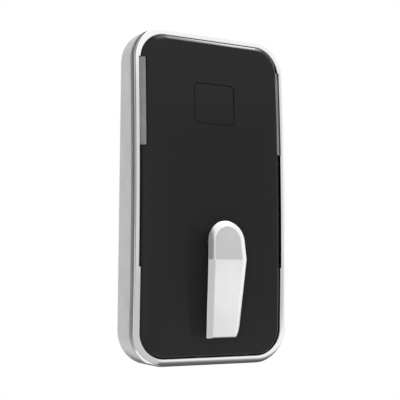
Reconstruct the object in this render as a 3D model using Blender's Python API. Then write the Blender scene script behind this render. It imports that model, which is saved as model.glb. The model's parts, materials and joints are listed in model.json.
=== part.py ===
"""Fingerprint lock terminal for a cabinet door, built as its separate pieces.

Metres, +Z up. The origin is the centre of the flat back face, the front looks along -Y and +X is to the
right as seen from the front. Depths are measured forward from the back face, so a depth d lies at Y = -d.
"""
import math

import bmesh
import bpy
from mathutils import Vector

MM = 0.001

# Fits and mesh fineness
GAP = 0.3 * MM
TINY = 0.001 * MM
OVERLAP = 0.8 * MM
CORNER_STEPS = 7
ROUND_STEPS = 24
SMALL_STEPS = 14
CROWN_PITCH = 16 * MM
SHARP_ANGLE = math.radians(32)

# Body outline, and the crown of the front along its height
BODY_WIDTH = 68 * MM
BODY_HEIGHT = 130 * MM
BODY_CORNER = 13.5 * MM
GROOVE_DEPTH = 12.8 * MM
GROOVE_CHAMFER = 0.35 * MM
CROWN_RADIUS = 1130 * MM
CROWN_HEIGHT = 43.5 * MM

# Rear housing
HOUSING_WALL = 2.2 * MM
HOUSING_FLOOR = 2.6 * MM
BACK_ROUND = 0.8 * MM

# Bezel ring
BEZEL_WIDTH = 2.9 * MM
BEZEL_RISE = 1.8 * MM
BEZEL_ROUND = 1.1 * MM
RELIEF_INSET_LOW = 37.5 * MM
RELIEF_INSET_TOP = 12.7 * MM

# Front panel
PANEL_RISE = 3.2 * MM
PANEL_FLANK_DROP = 2.0 * MM
PANEL_FLANK_SIDE = 2.1 * MM
PANEL_FLANK_TOP = 1.5 * MM
PANEL_FLANK_LOW = 0.9 * MM
PANEL_CORNER = 9.0 * MM
PANEL_SKIRT = 1.6 * MM
PANEL_SKIN = 2.0 * MM
PANEL_RIM = 4.0 * MM
POCKET_CORNER = 6.0 * MM

# Fingerprint window and its sensor
WINDOW_WIDTH = 17.2 * MM
WINDOW_HEIGHT = 15.4 * MM
WINDOW_INSET_TOP = 28.8 * MM
WINDOW_CORNER = 1.5 * MM
WINDOW_GROOVE = 0.4 * MM
MODULE_MARGIN = 1.6 * MM
MODULE_THICK = 3.0 * MM
RIBBON_WIDTH = 8.0 * MM
RIBBON_THICK = 0.3 * MM
RIBBON_LAP = 4.0 * MM
SOCKET_DROP = 6.4 * MM

# Light bars on the flanks
BAR_LENGTH = 33.8 * MM
BAR_WIDTH = 2.2 * MM
BAR_RISE = 2.6 * MM
BAR_EDGE_RISE = 1.1 * MM
BAR_TOP_WIDTH = 0.6 * MM
BAR_BASE = 1.5 * MM

# Lever
PIVOT_HEIGHT = 47.5 * MM
LEVER_GAP = 4.9 * MM
LEVER_HEAD_RADIUS = 8.0 * MM
LEVER_HEAD_DROP = 0.4 * MM
LEVER_TOP_THICK = 3.9 * MM
LEVER_RIDGE_THICK = 5.5 * MM
LEVER_TIP_THICK = 2.1 * MM
CREASE_HALF = 8.4 * MM
CREASE_DROP = 7.1 * MM
LEVER_REACH = 36.6 * MM
TIP_HALF = 7.1 * MM
TIP_CORNER_WIDTH = 1.9 * MM
TIP_CORNER_HEIGHT = 5.5 * MM
TIP_FACE_HALF = 5.2 * MM
TIP_BACK_HALF = 6.4 * MM
TIP_SMALL_CORNER = 0.4 * MM
LEVER_BEVEL_WIDTH = 2.2 * MM
LEVER_BEVEL_DROP = 1.1 * MM
LEVER_UNDERCUT = 2.4 * MM
HEAD_STEPS = 20
CORNER_STEPS = 3

# Spindle, bush and lock disc
SPINDLE_RADIUS = 2.8 * MM
SPINDLE_RECESS = 0.8 * MM
SPINDLE_SEAT = 3.2 * MM
TAIL_SQUARE = 3.2 * MM
TAIL_DEPTH = 6.0 * MM
SPINDLE_BOSS_RADIUS = 6.0 * MM
SPINDLE_BOSS_TOP = 5.0 * MM
BUSH_WALL = 1.1 * MM
BUSH_FLANGE_RADIUS = 7.5 * MM
BUSH_FLANGE_THICK = 1.3 * MM
DISC_RADIUS = 9.0 * MM
DISC_THICK = 3.0 * MM
HUB_RADIUS = 5.6 * MM
NOTCH_DEPTH = 2.6 * MM
GRUB_RADIUS = 0.9 * MM

# Lock bolt, its screw and motor
BOLT_NOSE_HALF = 1.2 * MM
NOTCH_PLAY = 0.5 * MM
BOLT_CLEARANCE = 0.6 * MM
BOLT_NOSE_LENGTH = 4.4 * MM
BOLT_BODY_HALF = 3.0 * MM
BOLT_THICK = 4.0 * MM
GUIDE_WALL = 1.2 * MM
GUIDE_RISE = 3.5 * MM
GUIDE_INSET = 0.5 * MM
LOCK_SCREW_RADIUS = 1.0 * MM
BOLT_END_WALL = 1.0 * MM
MOTOR_GAP = 1.2 * MM
MOTOR_RADIUS = 3.2 * MM
MOTOR_LENGTH = 8.4 * MM
MOTOR_SIDE_SPACE = 1.2 * MM
CLIP_THICK = 0.8 * MM
CLIP_WIDTH = 3.5 * MM
CLIP_OFFSET = 0.8 * MM
CLIP_FOOT = 3.7 * MM
SADDLE_HALF = 1.5 * MM

# Cells, their contacts and the battery door
CELL_RADIUS = 5.25 * MM
CELL_LENGTH = 44.5 * MM
CELL_NUB_RADIUS = 1.9 * MM
CELL_NUB_LENGTH = 0.9 * MM
CELL_SPACE = 0.5 * MM
CELL_CLEARANCE = 2.2 * MM
CELL_PLAY = 0.4 * MM
CONTACT_THICK = 0.5 * MM
CONTACT_FOOT = 2.6 * MM
CONTACT_RISE = 7.0 * MM
DOOR_THICK = 1.2 * MM
DOOR_LEDGE = 1.2 * MM
DOOR_RECESS = 0.15 * MM
DOOR_TAIL = 2.8 * MM
DOOR_CORNER = 2.0 * MM

# Main board and the pieces on it
BOARD_THICK = 1.6 * MM
BOARD_DEPTH = 5.2 * MM
BOARD_SIDE_SPACE = 4.3 * MM
BOARD_LOCK_SPACE = 14.5 * MM
BOARD_TOP_SPACE = 1.3 * MM
BOARD_CORNER = 2.0 * MM
BOARD_SCREW_INSET = 3.0 * MM
BOARD_POST_RADIUS = 2.4 * MM
BUZZER_RADIUS = 4.5 * MM
BUZZER_THICK = 2.4 * MM
BUZZER_PLACE = (13 * MM, 13 * MM)
LED_WIDTH = 1.6 * MM
LED_THICK = 1.3 * MM
LED_LENGTH = 3.0 * MM
# Rectangular pieces: centre X, height above the board's lower edge, width, height, thickness
MCU_BOX = (-12 * MM, 13 * MM, 9 * MM, 9 * MM, 1.2 * MM)
MEMORY_BOX = (-14 * MM, 24 * MM, 6 * MM, 5 * MM, 1.0 * MM)
CELL_SOCKET_BOX = (-10 * MM, 3.5 * MM, 6 * MM, 4 * MM, 3.0 * MM)
MOTOR_SOCKET_BOX = (10 * MM, 3.5 * MM, 5 * MM, 4 * MM, 3.0 * MM)

# The ribbon's socket hangs below the sensor: width, height, thickness
RIBBON_SOCKET = (10 * MM, 4 * MM, 1.6 * MM)

# Screws: shank radius, head radius, head height
HOUSING_SCREW = (1.0 * MM, 1.9 * MM, 1.4 * MM)
BOARD_SCREW = (0.8 * MM, 1.8 * MM, 1.2 * MM)
CLIP_SCREW = (0.8 * MM, 1.5 * MM, 0.9 * MM)
DOOR_SCREW = (0.9 * MM, 1.6 * MM, 0.7 * MM)
SCREW_PLAY = 0.3 * MM
SCREW_INSET_SIDE = 10 * MM
SCREW_INSET_TOP = 9.5 * MM
SCREW_INSET_LOW = 7 * MM
SCREW_RECESS = 0.2 * MM
SCREW_REACH = 4.0 * MM
HOUSING_BOSS_RADIUS = 3.2 * MM
HOUSING_BOSS_TOP = 6.0 * MM
PANEL_POST_RADIUS = 3.0 * MM
DOOR_BOSS_RADIUS = 1.9 * MM
DOOR_BOSS_RISE = 2.9 * MM
CLIP_SCREW_REACH = 1.3 * MM

# Brass inserts for the screws that hold the terminal on a door
INSERT_INSET_TOP = 35 * MM
INSERT_INSET_LOW = 4.6 * MM
INSERT_RADIUS = 2.4 * MM
INSERT_THREAD_RADIUS = 1.65 * MM
INSERT_LENGTH = 3.3 * MM
INSERT_BOSS_WALL = 1.2 * MM
INSERT_CAP = 0.7 * MM

# Places that follow from the sizes above
HALF_WIDTH = BODY_WIDTH / 2
HALF_HEIGHT = BODY_HEIGHT / 2
INNER_HALF = HALF_WIDTH - HOUSING_WALL
CROWN_Z = -HALF_HEIGHT + CROWN_HEIGHT
RELIEF_LOW_Z = -HALF_HEIGHT + RELIEF_INSET_LOW
RELIEF_HIGH_Z = HALF_HEIGHT - RELIEF_INSET_TOP
PANEL_HALF = HALF_WIDTH - BEZEL_WIDTH - GAP
PANEL_HALF_HEIGHT = HALF_HEIGHT - BEZEL_WIDTH - GAP
POCKET_HALF = PANEL_HALF - PANEL_RIM
WINDOW_Z = HALF_HEIGHT - WINDOW_INSET_TOP
MODULE_LOW_Z = WINDOW_Z - WINDOW_HEIGHT / 2 - MODULE_MARGIN
RIBBON_SOCKET_Z = MODULE_LOW_Z - SOCKET_DROP
PIVOT_Z = -HALF_HEIGHT + PIVOT_HEIGHT
LEVER_PANEL_DEPTH = GROOVE_DEPTH - (PIVOT_Z - CROWN_Z) ** 2 / (2 * CROWN_RADIUS) + PANEL_RISE
LEVER_BACK = LEVER_PANEL_DEPTH + LEVER_GAP
HEAD_CENTRE_Z = PIVOT_Z - LEVER_HEAD_DROP
CREASE_Z = PIVOT_Z - CREASE_DROP
TIP_Z = PIVOT_Z - LEVER_REACH
SPINDLE_BORE = SPINDLE_RADIUS + GAP
BUSH_RADIUS = SPINDLE_BORE + BUSH_WALL
BUSH_FLANGE_FRONT = LEVER_PANEL_DEPTH - PANEL_SKIN - GAP
BUSH_FLANGE_BACK = BUSH_FLANGE_FRONT - BUSH_FLANGE_THICK
DISC_BACK = SPINDLE_BOSS_TOP + GAP
DISC_FRONT = DISC_BACK + DISC_THICK
HUB_FRONT = BUSH_FLANGE_BACK - GAP
BOLT_DEPTH = (DISC_BACK + DISC_FRONT) / 2
BOLT_TIP_X = DISC_RADIUS + BOLT_CLEARANCE
BOLT_BODY_X = BOLT_TIP_X + BOLT_NOSE_LENGTH
MOTOR_X = INNER_HALF - MOTOR_SIDE_SPACE - MOTOR_LENGTH
BOLT_END_X = MOTOR_X - MOTOR_GAP
BOLT_BODY_LENGTH = BOLT_END_X - BOLT_BODY_X
LOCK_SCREW_BORE = BOLT_BODY_LENGTH - BOLT_END_WALL
CLIP_X = MOTOR_X + CLIP_OFFSET
CLIP_SCREW_Z = MOTOR_RADIUS + GAP + CLIP_THICK + CLIP_FOOT / 2
CELL_DEPTH = DOOR_RECESS + DOOR_THICK + GAP + CELL_RADIUS
CELL_PITCH = 2 * CELL_RADIUS + CELL_SPACE
CELL_HIGH_Z = PIVOT_Z - DISC_RADIUS - CELL_CLEARANCE - CELL_RADIUS
CELL_LOW_Z = CELL_HIGH_Z - CELL_PITCH
CELL_HATCH_HALF = CELL_LENGTH / 2 + CELL_PLAY
CELL_HATCH_TOP = CELL_HIGH_Z + CELL_RADIUS + CELL_SPACE
CELL_HATCH_LOW = CELL_LOW_Z - CELL_RADIUS - CELL_SPACE
DOOR_SCREW_Z = CELL_HATCH_LOW - (DOOR_LEDGE + DOOR_TAIL) / 2
SCREW_X = HALF_WIDTH - SCREW_INSET_SIDE
SCREW_HIGH_Z = HALF_HEIGHT - SCREW_INSET_TOP
SCREW_LOW_Z = -HALF_HEIGHT + SCREW_INSET_LOW
BOARD_HIGH_Z = SCREW_HIGH_Z - HOUSING_BOSS_RADIUS - BOARD_TOP_SPACE
BOARD_FRONT = BOARD_DEPTH + BOARD_THICK
BOARD_HALF = INNER_HALF - BOARD_SIDE_SPACE
BOARD_LOW_Z = PIVOT_Z + BOARD_LOCK_SPACE
LED_OUTER = POCKET_HALF - GAP
BAR_HIGH_Z = RELIEF_HIGH_Z - GAP
BAR_LOW_Z = BAR_HIGH_Z - BAR_LENGTH
BAR_OUTER = INNER_HALF - GAP
BAR_INNER = BAR_OUTER - BAR_WIDTH
INSERT_HIGH_Z = HALF_HEIGHT - INSERT_INSET_TOP
INSERT_LOW_Z = -HALF_HEIGHT + INSERT_INSET_LOW
FORWARD = Vector((0, -1, 0))
RIGHT = Vector((1, 0, 0))
SIDES = (("left", -1), ("right", 1))
HOUSING_SCREW_PLACES = [
    (f"{row}_{side}", sign * SCREW_X, z)
    for row, z in (("upper", SCREW_HIGH_Z), ("lower", SCREW_LOW_Z))
    for side, sign in SIDES
]
BOARD_SCREW_PLACES = [
    (f"{row}_{side}", sign * (BOARD_HALF - BOARD_SCREW_INSET), z)
    for row, z in (
        ("upper", BOARD_HIGH_Z - BOARD_SCREW_INSET),
        ("lower", BOARD_LOW_Z + BOARD_SCREW_INSET),
    )
    for side, sign in SIDES
]
CLIP_SCREW_PLACES = [
    ("upper", CLIP_X + CLIP_WIDTH / 2, PIVOT_Z + CLIP_SCREW_Z),
    ("lower", CLIP_X + CLIP_WIDTH / 2, PIVOT_Z - CLIP_SCREW_Z),
]
INSERT_PLACES = [("upper", INSERT_HIGH_Z), ("lower", INSERT_LOW_Z)]


def groove_depth(z):
    """Depth of the parting line between housing and bezel at a height."""
    return GROOVE_DEPTH - (z - CROWN_Z) ** 2 / (2 * CROWN_RADIUS)


# Mesh makers

def block(x_range, depth_range, z_range):
    """A box between two limits on each axis."""
    bm = bmesh.new()
    bmesh.ops.create_cube(bm, size=1)
    (x0, x1), (d0, d1), (z0, z1) = x_range, depth_range, z_range
    bmesh.ops.scale(bm, vec=Vector((x1 - x0, d1 - d0, z1 - z0)), verts=bm.verts)
    centre = Vector(((x0 + x1) / 2, -(d0 + d1) / 2, (z0 + z1) / 2))
    bmesh.ops.translate(bm, vec=centre, verts=bm.verts)
    return bm


def rounded_block(half_width, depth_range, z_range, radius):
    """A box centred on X = 0 whose four edges along the depth are rounded."""
    bm = block((-half_width, half_width), depth_range, z_range)
    edges = [e for e in bm.edges if abs(e.verts[0].co.y - e.verts[1].co.y) > TINY]
    bmesh.ops.bevel(bm, geom=edges, offset=radius, segments=CORNER_STEPS, profile=0.5, affect="EDGES")
    return bm


def soften_rim(bm, depth, radius, segments):
    """Rounds the outline of the flat face at a depth."""
    edges = [e for e in bm.edges if all(abs(v.co.y + depth) < TINY for v in e.verts)]
    bmesh.ops.bevel(bm, geom=edges, offset=radius, segments=segments, profile=0.5, affect="EDGES")


def crown(bm, behind=0.0):
    """Bends what lies in front of a depth to the crown of the front, in short straight lengths."""
    low = min(v.co.z for v in bm.verts)
    high = max(v.co.z for v in bm.verts)
    cuts = max(1, math.ceil((high - low) / CROWN_PITCH))
    for i in range(1, cuts):
        z = low + (high - low) * i / cuts
        geom = bm.verts[:] + bm.edges[:] + bm.faces[:]
        bmesh.ops.bisect_plane(bm, geom=geom, plane_co=(0, 0, z), plane_no=(0, 0, 1), dist=TINY / 10)
    for v in bm.verts:
        if -v.co.y > behind:
            v.co.y += GROOVE_DEPTH - groove_depth(v.co.z)
    return bm


def loft(sections):
    """Skins closed sections that have as many points each, and caps both ends."""
    bm = bmesh.new()
    rings = [[bm.verts.new(p) for p in section] for section in sections]
    for ring, following in zip(rings, rings[1:]):
        count = len(ring)
        for i in range(count):
            j = (i + 1) % count
            bm.faces.new((ring[i], ring[j], following[j], following[i]))
    bm.faces.new(rings[0])
    bm.faces.new(rings[-1])
    bmesh.ops.recalc_face_normals(bm, faces=bm.faces)
    return bm, rings


def prism(points, travel):
    """Sweeps a flat outline along a straight line."""
    bm = bmesh.new()
    face = bm.faces.new([bm.verts.new(p) for p in points])
    swept = bmesh.ops.extrude_face_region(bm, geom=[face])["geom"]
    bmesh.ops.translate(bm, vec=travel, verts=[v for v in swept if isinstance(v, bmesh.types.BMVert)])
    bmesh.ops.recalc_face_normals(bm, faces=bm.faces)
    return bm


def turned(profile, centre, axis, steps=ROUND_STEPS):
    """Spins (radius, distance) points about an axis. A profile that leaves the axis free makes a tube."""
    bm = bmesh.new()
    side = axis.orthogonal().normalized()
    points = [bm.verts.new(centre + side * r + axis * s) for r, s in profile]
    pairs = list(zip(points, points[1:]))
    if profile[0][0] > TINY:
        pairs.append((points[-1], points[0]))
    edges = [bm.edges.new(pair) for pair in pairs]
    turn = {"cent": centre, "axis": axis, "angle": 2 * math.pi, "steps": steps, "use_merge": True}
    bmesh.ops.spin(bm, geom=points + edges, **turn)
    bmesh.ops.remove_doubles(bm, verts=bm.verts, dist=TINY)
    bmesh.ops.recalc_face_normals(bm, faces=bm.faces)
    return bm


def rod(radius, x, z, depth_range, steps=ROUND_STEPS):
    """A round bar along the depth."""
    d0, d1 = depth_range
    return turned([(0, d0), (radius, d0), (radius, d1), (0, d1)], Vector((x, 0, z)), FORWARD, steps)


def joined(meshes):
    """Several bodies in one mesh."""
    bm = bmesh.new()
    for mesh in meshes:
        data = bpy.data.meshes.new("joined")
        mesh.to_mesh(data)
        mesh.free()
        bm.from_mesh(data)
        bpy.data.meshes.remove(data)
    return bm


def screw_mesh(sizes, x, z, tip, seat):
    """A screw along the depth, from its tip to the seat under its head."""
    shank, head, height = sizes
    away = 1 if seat > tip else -1
    end = seat + away * height
    profile = [(0, tip), (shank, tip), (shank, seat), (head, seat), (head, end), (0, end)]
    return turned(profile, Vector((x, 0, z)), FORWARD, SMALL_STEPS)


def rounded_outline(half_width, low, high, radius, depth):
    """Points of a rounded rectangle at a depth, which follows the crown."""
    points = []
    centres = [
        (half_width - radius, high - radius, 0),
        (-half_width + radius, high - radius, 90),
        (-half_width + radius, low + radius, 180),
        (half_width - radius, low + radius, 270),
    ]
    for cx, cz, start in centres:
        for i in range(CORNER_STEPS + 1):
            angle = math.radians(start + 90 * i / CORNER_STEPS)
            points.append(Vector((cx + radius * math.cos(angle), -depth, cz + radius * math.sin(angle))))
    return points


# Scene helpers

def clear_scene():
    for obj in list(bpy.data.objects):
        bpy.data.objects.remove(obj, do_unlink=True)
    for name in ("fingerprint_lock_terminal", "cutters"):
        collection = bpy.data.collections.new(name)
        bpy.context.scene.collection.children.link(collection)


def add_empty(name, place, parent=None):
    empty = bpy.data.objects.new(name, None)
    bpy.data.collections["fingerprint_lock_terminal"].objects.link(empty)
    empty.parent = parent
    empty.location = place - (parent.location if parent else Vector())
    return empty


def material(name, look):
    colour, roughness, metallic = look
    mat = bpy.data.materials.new(name)
    mat.use_nodes = True
    shader = mat.node_tree.nodes["Principled BSDF"]
    shader.inputs["Base Color"].default_value = (*colour, 1)
    shader.inputs["Roughness"].default_value = roughness
    shader.inputs["Metallic"].default_value = metallic
    return mat


def add_mesh(name, bm, collection, place):
    bmesh.ops.translate(bm, vec=-place, verts=bm.verts)
    mesh = bpy.data.meshes.new(name)
    bm.to_mesh(mesh)
    bm.free()
    mesh.shade_smooth()
    mesh.set_sharp_from_angle(angle=SHARP_ANGLE)
    obj = bpy.data.objects.new(name, mesh)
    bpy.data.collections[collection].objects.link(obj)
    return obj


def add_part(name, bm, look, carrier):
    """Adds a node whose origin is its carrier's place."""
    place = carrier.matrix_world.translation.copy()
    obj = add_mesh(name, bm, "fingerprint_lock_terminal", place)
    obj.data.materials.append(material(name, look))
    obj.parent = carrier
    return obj


def boolean(part, bm, operation):
    """Joins a mesh to a part or cuts it out of it."""
    cutter = add_mesh(f"{part.name}_{operation.lower()}", bm, "cutters", Vector())
    cutter.display_type = "WIRE"
    cutter.hide_render = True
    modifier = part.modifiers.new(operation.title(), "BOOLEAN")
    modifier.operation = operation
    modifier.object = cutter
    modifier.solver = "EXACT"
    return cutter


# Looks: colour, roughness, metallic
SILVER_PAINT = ((0.48, 0.48, 0.49), 0.42, 0.7)
CHROME = ((0.75, 0.75, 0.76), 0.12, 1.0)
SATIN_METAL = ((0.70, 0.70, 0.71), 0.25, 1.0)
GLOSS_BLACK = ((0.012, 0.012, 0.013), 0.08, 0.0)
WINDOW_BLACK = ((0.010, 0.010, 0.012), 0.05, 0.0)
FROSTED = ((0.25, 0.25, 0.26), 0.5, 0.0)
DARK_PLASTIC = ((0.02, 0.02, 0.022), 0.5, 0.0)
BOARD_GREEN = ((0.02, 0.12, 0.06), 0.45, 0.0)
CHIP_BLACK = ((0.02, 0.02, 0.02), 0.6, 0.0)
STEEL = ((0.55, 0.55, 0.56), 0.3, 1.0)
BRASS = ((0.60, 0.44, 0.20), 0.3, 1.0)
CELL_WRAP = ((0.10, 0.14, 0.20), 0.35, 0.0)
RIBBON_AMBER = ((0.45, 0.22, 0.05), 0.4, 0.0)
WHITE_PLASTIC = ((0.75, 0.74, 0.70), 0.5, 0.0)


# Casing

def hatch_blocks():
    """The battery door's rebate and the opening inside it."""
    seat = DOOR_RECESS + DOOR_THICK + GAP
    half = CELL_HATCH_HALF + DOOR_LEDGE + GAP
    rebate = rounded_block(
        half,
        (-OVERLAP, seat),
        (CELL_HATCH_LOW - DOOR_LEDGE - DOOR_TAIL - GAP, CELL_HATCH_TOP + DOOR_LEDGE + GAP),
        DOOR_CORNER + GAP,
    )
    opening = block(
        (-CELL_HATCH_HALF, CELL_HATCH_HALF),
        (seat - OVERLAP, HOUSING_FLOOR + OVERLAP),
        (CELL_HATCH_LOW, CELL_HATCH_TOP),
    )
    return rebate, opening


def bolt_guide():
    """U-shaped channel on the floor in which the bolt slides."""
    low = HOUSING_FLOOR - OVERLAP
    seat = BOLT_DEPTH - BOLT_THICK / 2 - GAP
    inner = BOLT_BODY_HALF + GAP
    outer = inner + GUIDE_WALL
    top = seat + GUIDE_RISE
    outline = [
        (low, -outer), (top, -outer), (top, -inner), (seat, -inner),
        (seat, inner), (top, inner), (top, outer), (low, outer),
    ]
    start = BOLT_BODY_X + GUIDE_INSET
    points = [Vector((start, -d, PIVOT_Z + z)) for d, z in outline]
    return prism(points, RIGHT * (BOLT_BODY_LENGTH - 2 * GUIDE_INSET))


def motor_saddle():
    top = BOLT_DEPTH - MOTOR_RADIUS - GAP
    return block(
        (MOTOR_X + GAP, MOTOR_X + MOTOR_LENGTH - GAP),
        (HOUSING_FLOOR - OVERLAP, top),
        (PIVOT_Z - SADDLE_HALF, PIVOT_Z + SADDLE_HALF),
    )


def rear_housing(carrier):
    outer = rounded_block(HALF_WIDTH, (0, GROOVE_DEPTH), (-HALF_HEIGHT, HALF_HEIGHT), BODY_CORNER)
    soften_rim(outer, GROOVE_DEPTH, GROOVE_CHAMFER, 1)
    soften_rim(outer, 0, BACK_ROUND, 2)
    part = add_part("rear_housing", crown(outer, GROOVE_DEPTH / 2), SILVER_PAINT, carrier)
    inner_height = HALF_HEIGHT - HOUSING_WALL
    inside = rounded_block(
        INNER_HALF,
        (HOUSING_FLOOR, GROOVE_DEPTH + BODY_CORNER),
        (-inner_height, inner_height),
        BODY_CORNER - HOUSING_WALL,
    )
    boolean(part, inside, "DIFFERENCE")
    rebate, opening = hatch_blocks()
    boolean(part, rebate, "DIFFERENCE")
    boolean(part, opening, "DIFFERENCE")
    foot = HOUSING_FLOOR - OVERLAP
    insert_top = SCREW_RECESS + INSERT_LENGTH + GAP + INSERT_CAP
    insert_boss = INSERT_RADIUS + GAP + INSERT_BOSS_WALL
    bosses = [rod(HOUSING_BOSS_RADIUS, x, z, (foot, HOUSING_BOSS_TOP)) for _, x, z in HOUSING_SCREW_PLACES]
    bosses += [rod(BOARD_POST_RADIUS, x, z, (foot, BOARD_DEPTH - GAP)) for _, x, z in BOARD_SCREW_PLACES]
    bosses += [rod(insert_boss, 0, z, (foot, insert_top)) for _, z in INSERT_PLACES]
    bosses.append(rod(DOOR_BOSS_RADIUS, 0, DOOR_SCREW_Z, (foot, HOUSING_FLOOR + DOOR_BOSS_RISE)))
    bosses.append(rod(SPINDLE_BOSS_RADIUS, 0, PIVOT_Z, (foot, SPINDLE_BOSS_TOP)))
    boolean(part, joined(bosses + [bolt_guide(), motor_saddle()]), "UNION")
    head_hole = HOUSING_SCREW[1] + SCREW_PLAY
    head_seat = SCREW_RECESS + HOUSING_SCREW[2] + GAP
    shank_hole = HOUSING_SCREW[0] + SCREW_PLAY
    hole_end = HOUSING_BOSS_TOP + OVERLAP
    holes = []
    for _, x, z in HOUSING_SCREW_PLACES:
        profile = [
            (0, -OVERLAP), (head_hole, -OVERLAP), (head_hole, head_seat),
            (shank_hole, head_seat), (shank_hole, hole_end), (0, hole_end),
        ]
        holes.append(turned(profile, Vector((x, 0, z)), FORWARD, SMALL_STEPS))
    board_hole = BOARD_SCREW[0] + SCREW_PLAY
    for _, x, z in BOARD_SCREW_PLACES:
        holes.append(rod(board_hole, x, z, (HOUSING_FLOOR, BOARD_DEPTH + OVERLAP), SMALL_STEPS))
    clip_hole = CLIP_SCREW[0] + SCREW_PLAY
    for _, x, z in CLIP_SCREW_PLACES:
        holes.append(rod(clip_hole, x, z, (CLIP_SCREW_REACH - GAP, HOUSING_FLOOR + OVERLAP), SMALL_STEPS))
    for _, z in INSERT_PLACES:
        holes.append(rod(INSERT_RADIUS + GAP, 0, z, (-OVERLAP, insert_top - INSERT_CAP), SMALL_STEPS))
    holes.append(rod(SPINDLE_BORE, 0, PIVOT_Z, (-OVERLAP, SPINDLE_BOSS_TOP + OVERLAP)))
    door_hole = DOOR_SCREW[0] + SCREW_PLAY
    door_top = HOUSING_FLOOR + DOOR_BOSS_RISE
    holes.append(rod(door_hole, 0, DOOR_SCREW_Z, (DOOR_RECESS, door_top - GAP), SMALL_STEPS))
    boolean(part, joined(holes), "DIFFERENCE")


def bezel_ring(carrier):
    front = GROOVE_DEPTH + BEZEL_RISE
    back = GROOVE_DEPTH + GAP
    ring = rounded_block(HALF_WIDTH, (back, front), (-HALF_HEIGHT, HALF_HEIGHT), BODY_CORNER)
    soften_rim(ring, front, BEZEL_ROUND, 4)
    soften_rim(ring, back, GROOVE_CHAMFER, 1)
    part = add_part("bezel_ring", crown(ring), CHROME, carrier)
    through = (0, front + BODY_CORNER)
    inner_height = HALF_HEIGHT - BEZEL_WIDTH
    inside = rounded_block(
        HALF_WIDTH - BEZEL_WIDTH, through, (-inner_height, inner_height), BODY_CORNER - BEZEL_WIDTH
    )
    boolean(part, inside, "DIFFERENCE")
    boolean(part, block((-INNER_HALF, INNER_HALF), through, (RELIEF_LOW_Z, RELIEF_HIGH_Z)), "DIFFERENCE")


def front_panel(carrier):
    front = GROOVE_DEPTH + PANEL_RISE
    base = (PANEL_HALF, -PANEL_HALF_HEIGHT, PANEL_HALF_HEIGHT, BODY_CORNER - BEZEL_WIDTH - GAP)
    face = (
        PANEL_HALF - PANEL_FLANK_SIDE,
        -PANEL_HALF_HEIGHT + PANEL_FLANK_LOW,
        PANEL_HALF_HEIGHT - PANEL_FLANK_TOP,
        PANEL_CORNER,
    )
    plate, _ = loft([
        rounded_outline(*base, GROOVE_DEPTH - PANEL_SKIRT),
        rounded_outline(*base, front - PANEL_FLANK_DROP),
        rounded_outline(*face, front),
    ])
    part = add_part("front_panel", crown(plate), GLOSS_BLACK, carrier)
    pocket = rounded_block(
        POCKET_HALF,
        (GROOVE_DEPTH - PANEL_SKIRT - BODY_CORNER, front - PANEL_SKIN),
        (-PANEL_HALF_HEIGHT + PANEL_RIM, PANEL_HALF_HEIGHT - PANEL_RIM),
        POCKET_CORNER,
    )
    boolean(part, crown(pocket), "DIFFERENCE")
    post_foot = HOUSING_BOSS_TOP + GAP
    posts = [
        rod(PANEL_POST_RADIUS, x, z, (post_foot, groove_depth(z) + PANEL_RISE - PANEL_SKIN + OVERLAP))
        for _, x, z in HOUSING_SCREW_PLACES
    ]
    boolean(part, joined(posts), "UNION")
    hole = HOUSING_SCREW[0] + SCREW_PLAY
    tip = HOUSING_BOSS_TOP + SCREW_REACH + GAP
    holes = [rod(hole, x, z, (post_foot - OVERLAP, tip), SMALL_STEPS) for _, x, z in HOUSING_SCREW_PLACES]
    holes.append(rod(BUSH_RADIUS + GAP, 0, PIVOT_Z, (BUSH_FLANGE_BACK, LEVER_BACK)))
    window_half = WINDOW_WIDTH / 2 + WINDOW_GROOVE
    window_rise = WINDOW_HEIGHT / 2 + WINDOW_GROOVE
    holes.append(rounded_block(
        window_half, (BOARD_FRONT, LEVER_BACK),
        (WINDOW_Z - window_rise, WINDOW_Z + window_rise), WINDOW_CORNER + WINDOW_GROOVE,
    ))
    for _, sign in SIDES:
        edges = sorted((sign * (BAR_INNER - GAP), sign * HALF_WIDTH))
        holes.append(block(edges, (BOARD_DEPTH, LEVER_BACK), (BAR_LOW_Z - GAP, BAR_HIGH_Z + GAP)))
    boolean(part, joined(holes), "DIFFERENCE")


def light_bar(carrier, side, sign):
    outline = [
        (BAR_INNER, -BAR_BASE), (BAR_OUTER, -BAR_BASE), (BAR_OUTER, BAR_EDGE_RISE),
        (BAR_INNER + BAR_TOP_WIDTH, BAR_RISE), (BAR_INNER, BAR_RISE),
    ]
    points = [Vector((sign * x, -(GROOVE_DEPTH + rise), BAR_LOW_Z)) for x, rise in outline]
    bar = prism(points, Vector((0, 0, BAR_LENGTH)))
    add_part(f"light_bar_{side}", crown(bar), FROSTED, carrier)


def housing_screws(carrier):
    seat = SCREW_RECESS + HOUSING_SCREW[2]
    tip = HOUSING_BOSS_TOP + SCREW_REACH
    for place, x, z in HOUSING_SCREW_PLACES:
        add_part(f"housing_screw_{place}", screw_mesh(HOUSING_SCREW, x, z, tip, seat), STEEL, carrier)


def mounting_inserts(carrier):
    ends = (SCREW_RECESS, SCREW_RECESS + INSERT_LENGTH)
    profile = [
        (INSERT_THREAD_RADIUS, ends[0]), (INSERT_RADIUS, ends[0]),
        (INSERT_RADIUS, ends[1]), (INSERT_THREAD_RADIUS, ends[1]),
    ]
    for row, z in INSERT_PLACES:
        insert = turned(profile, Vector((0, 0, z)), FORWARD, SMALL_STEPS)
        add_part(f"mounting_insert_{row}", insert, BRASS, carrier)


# Sensor and electronics

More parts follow.
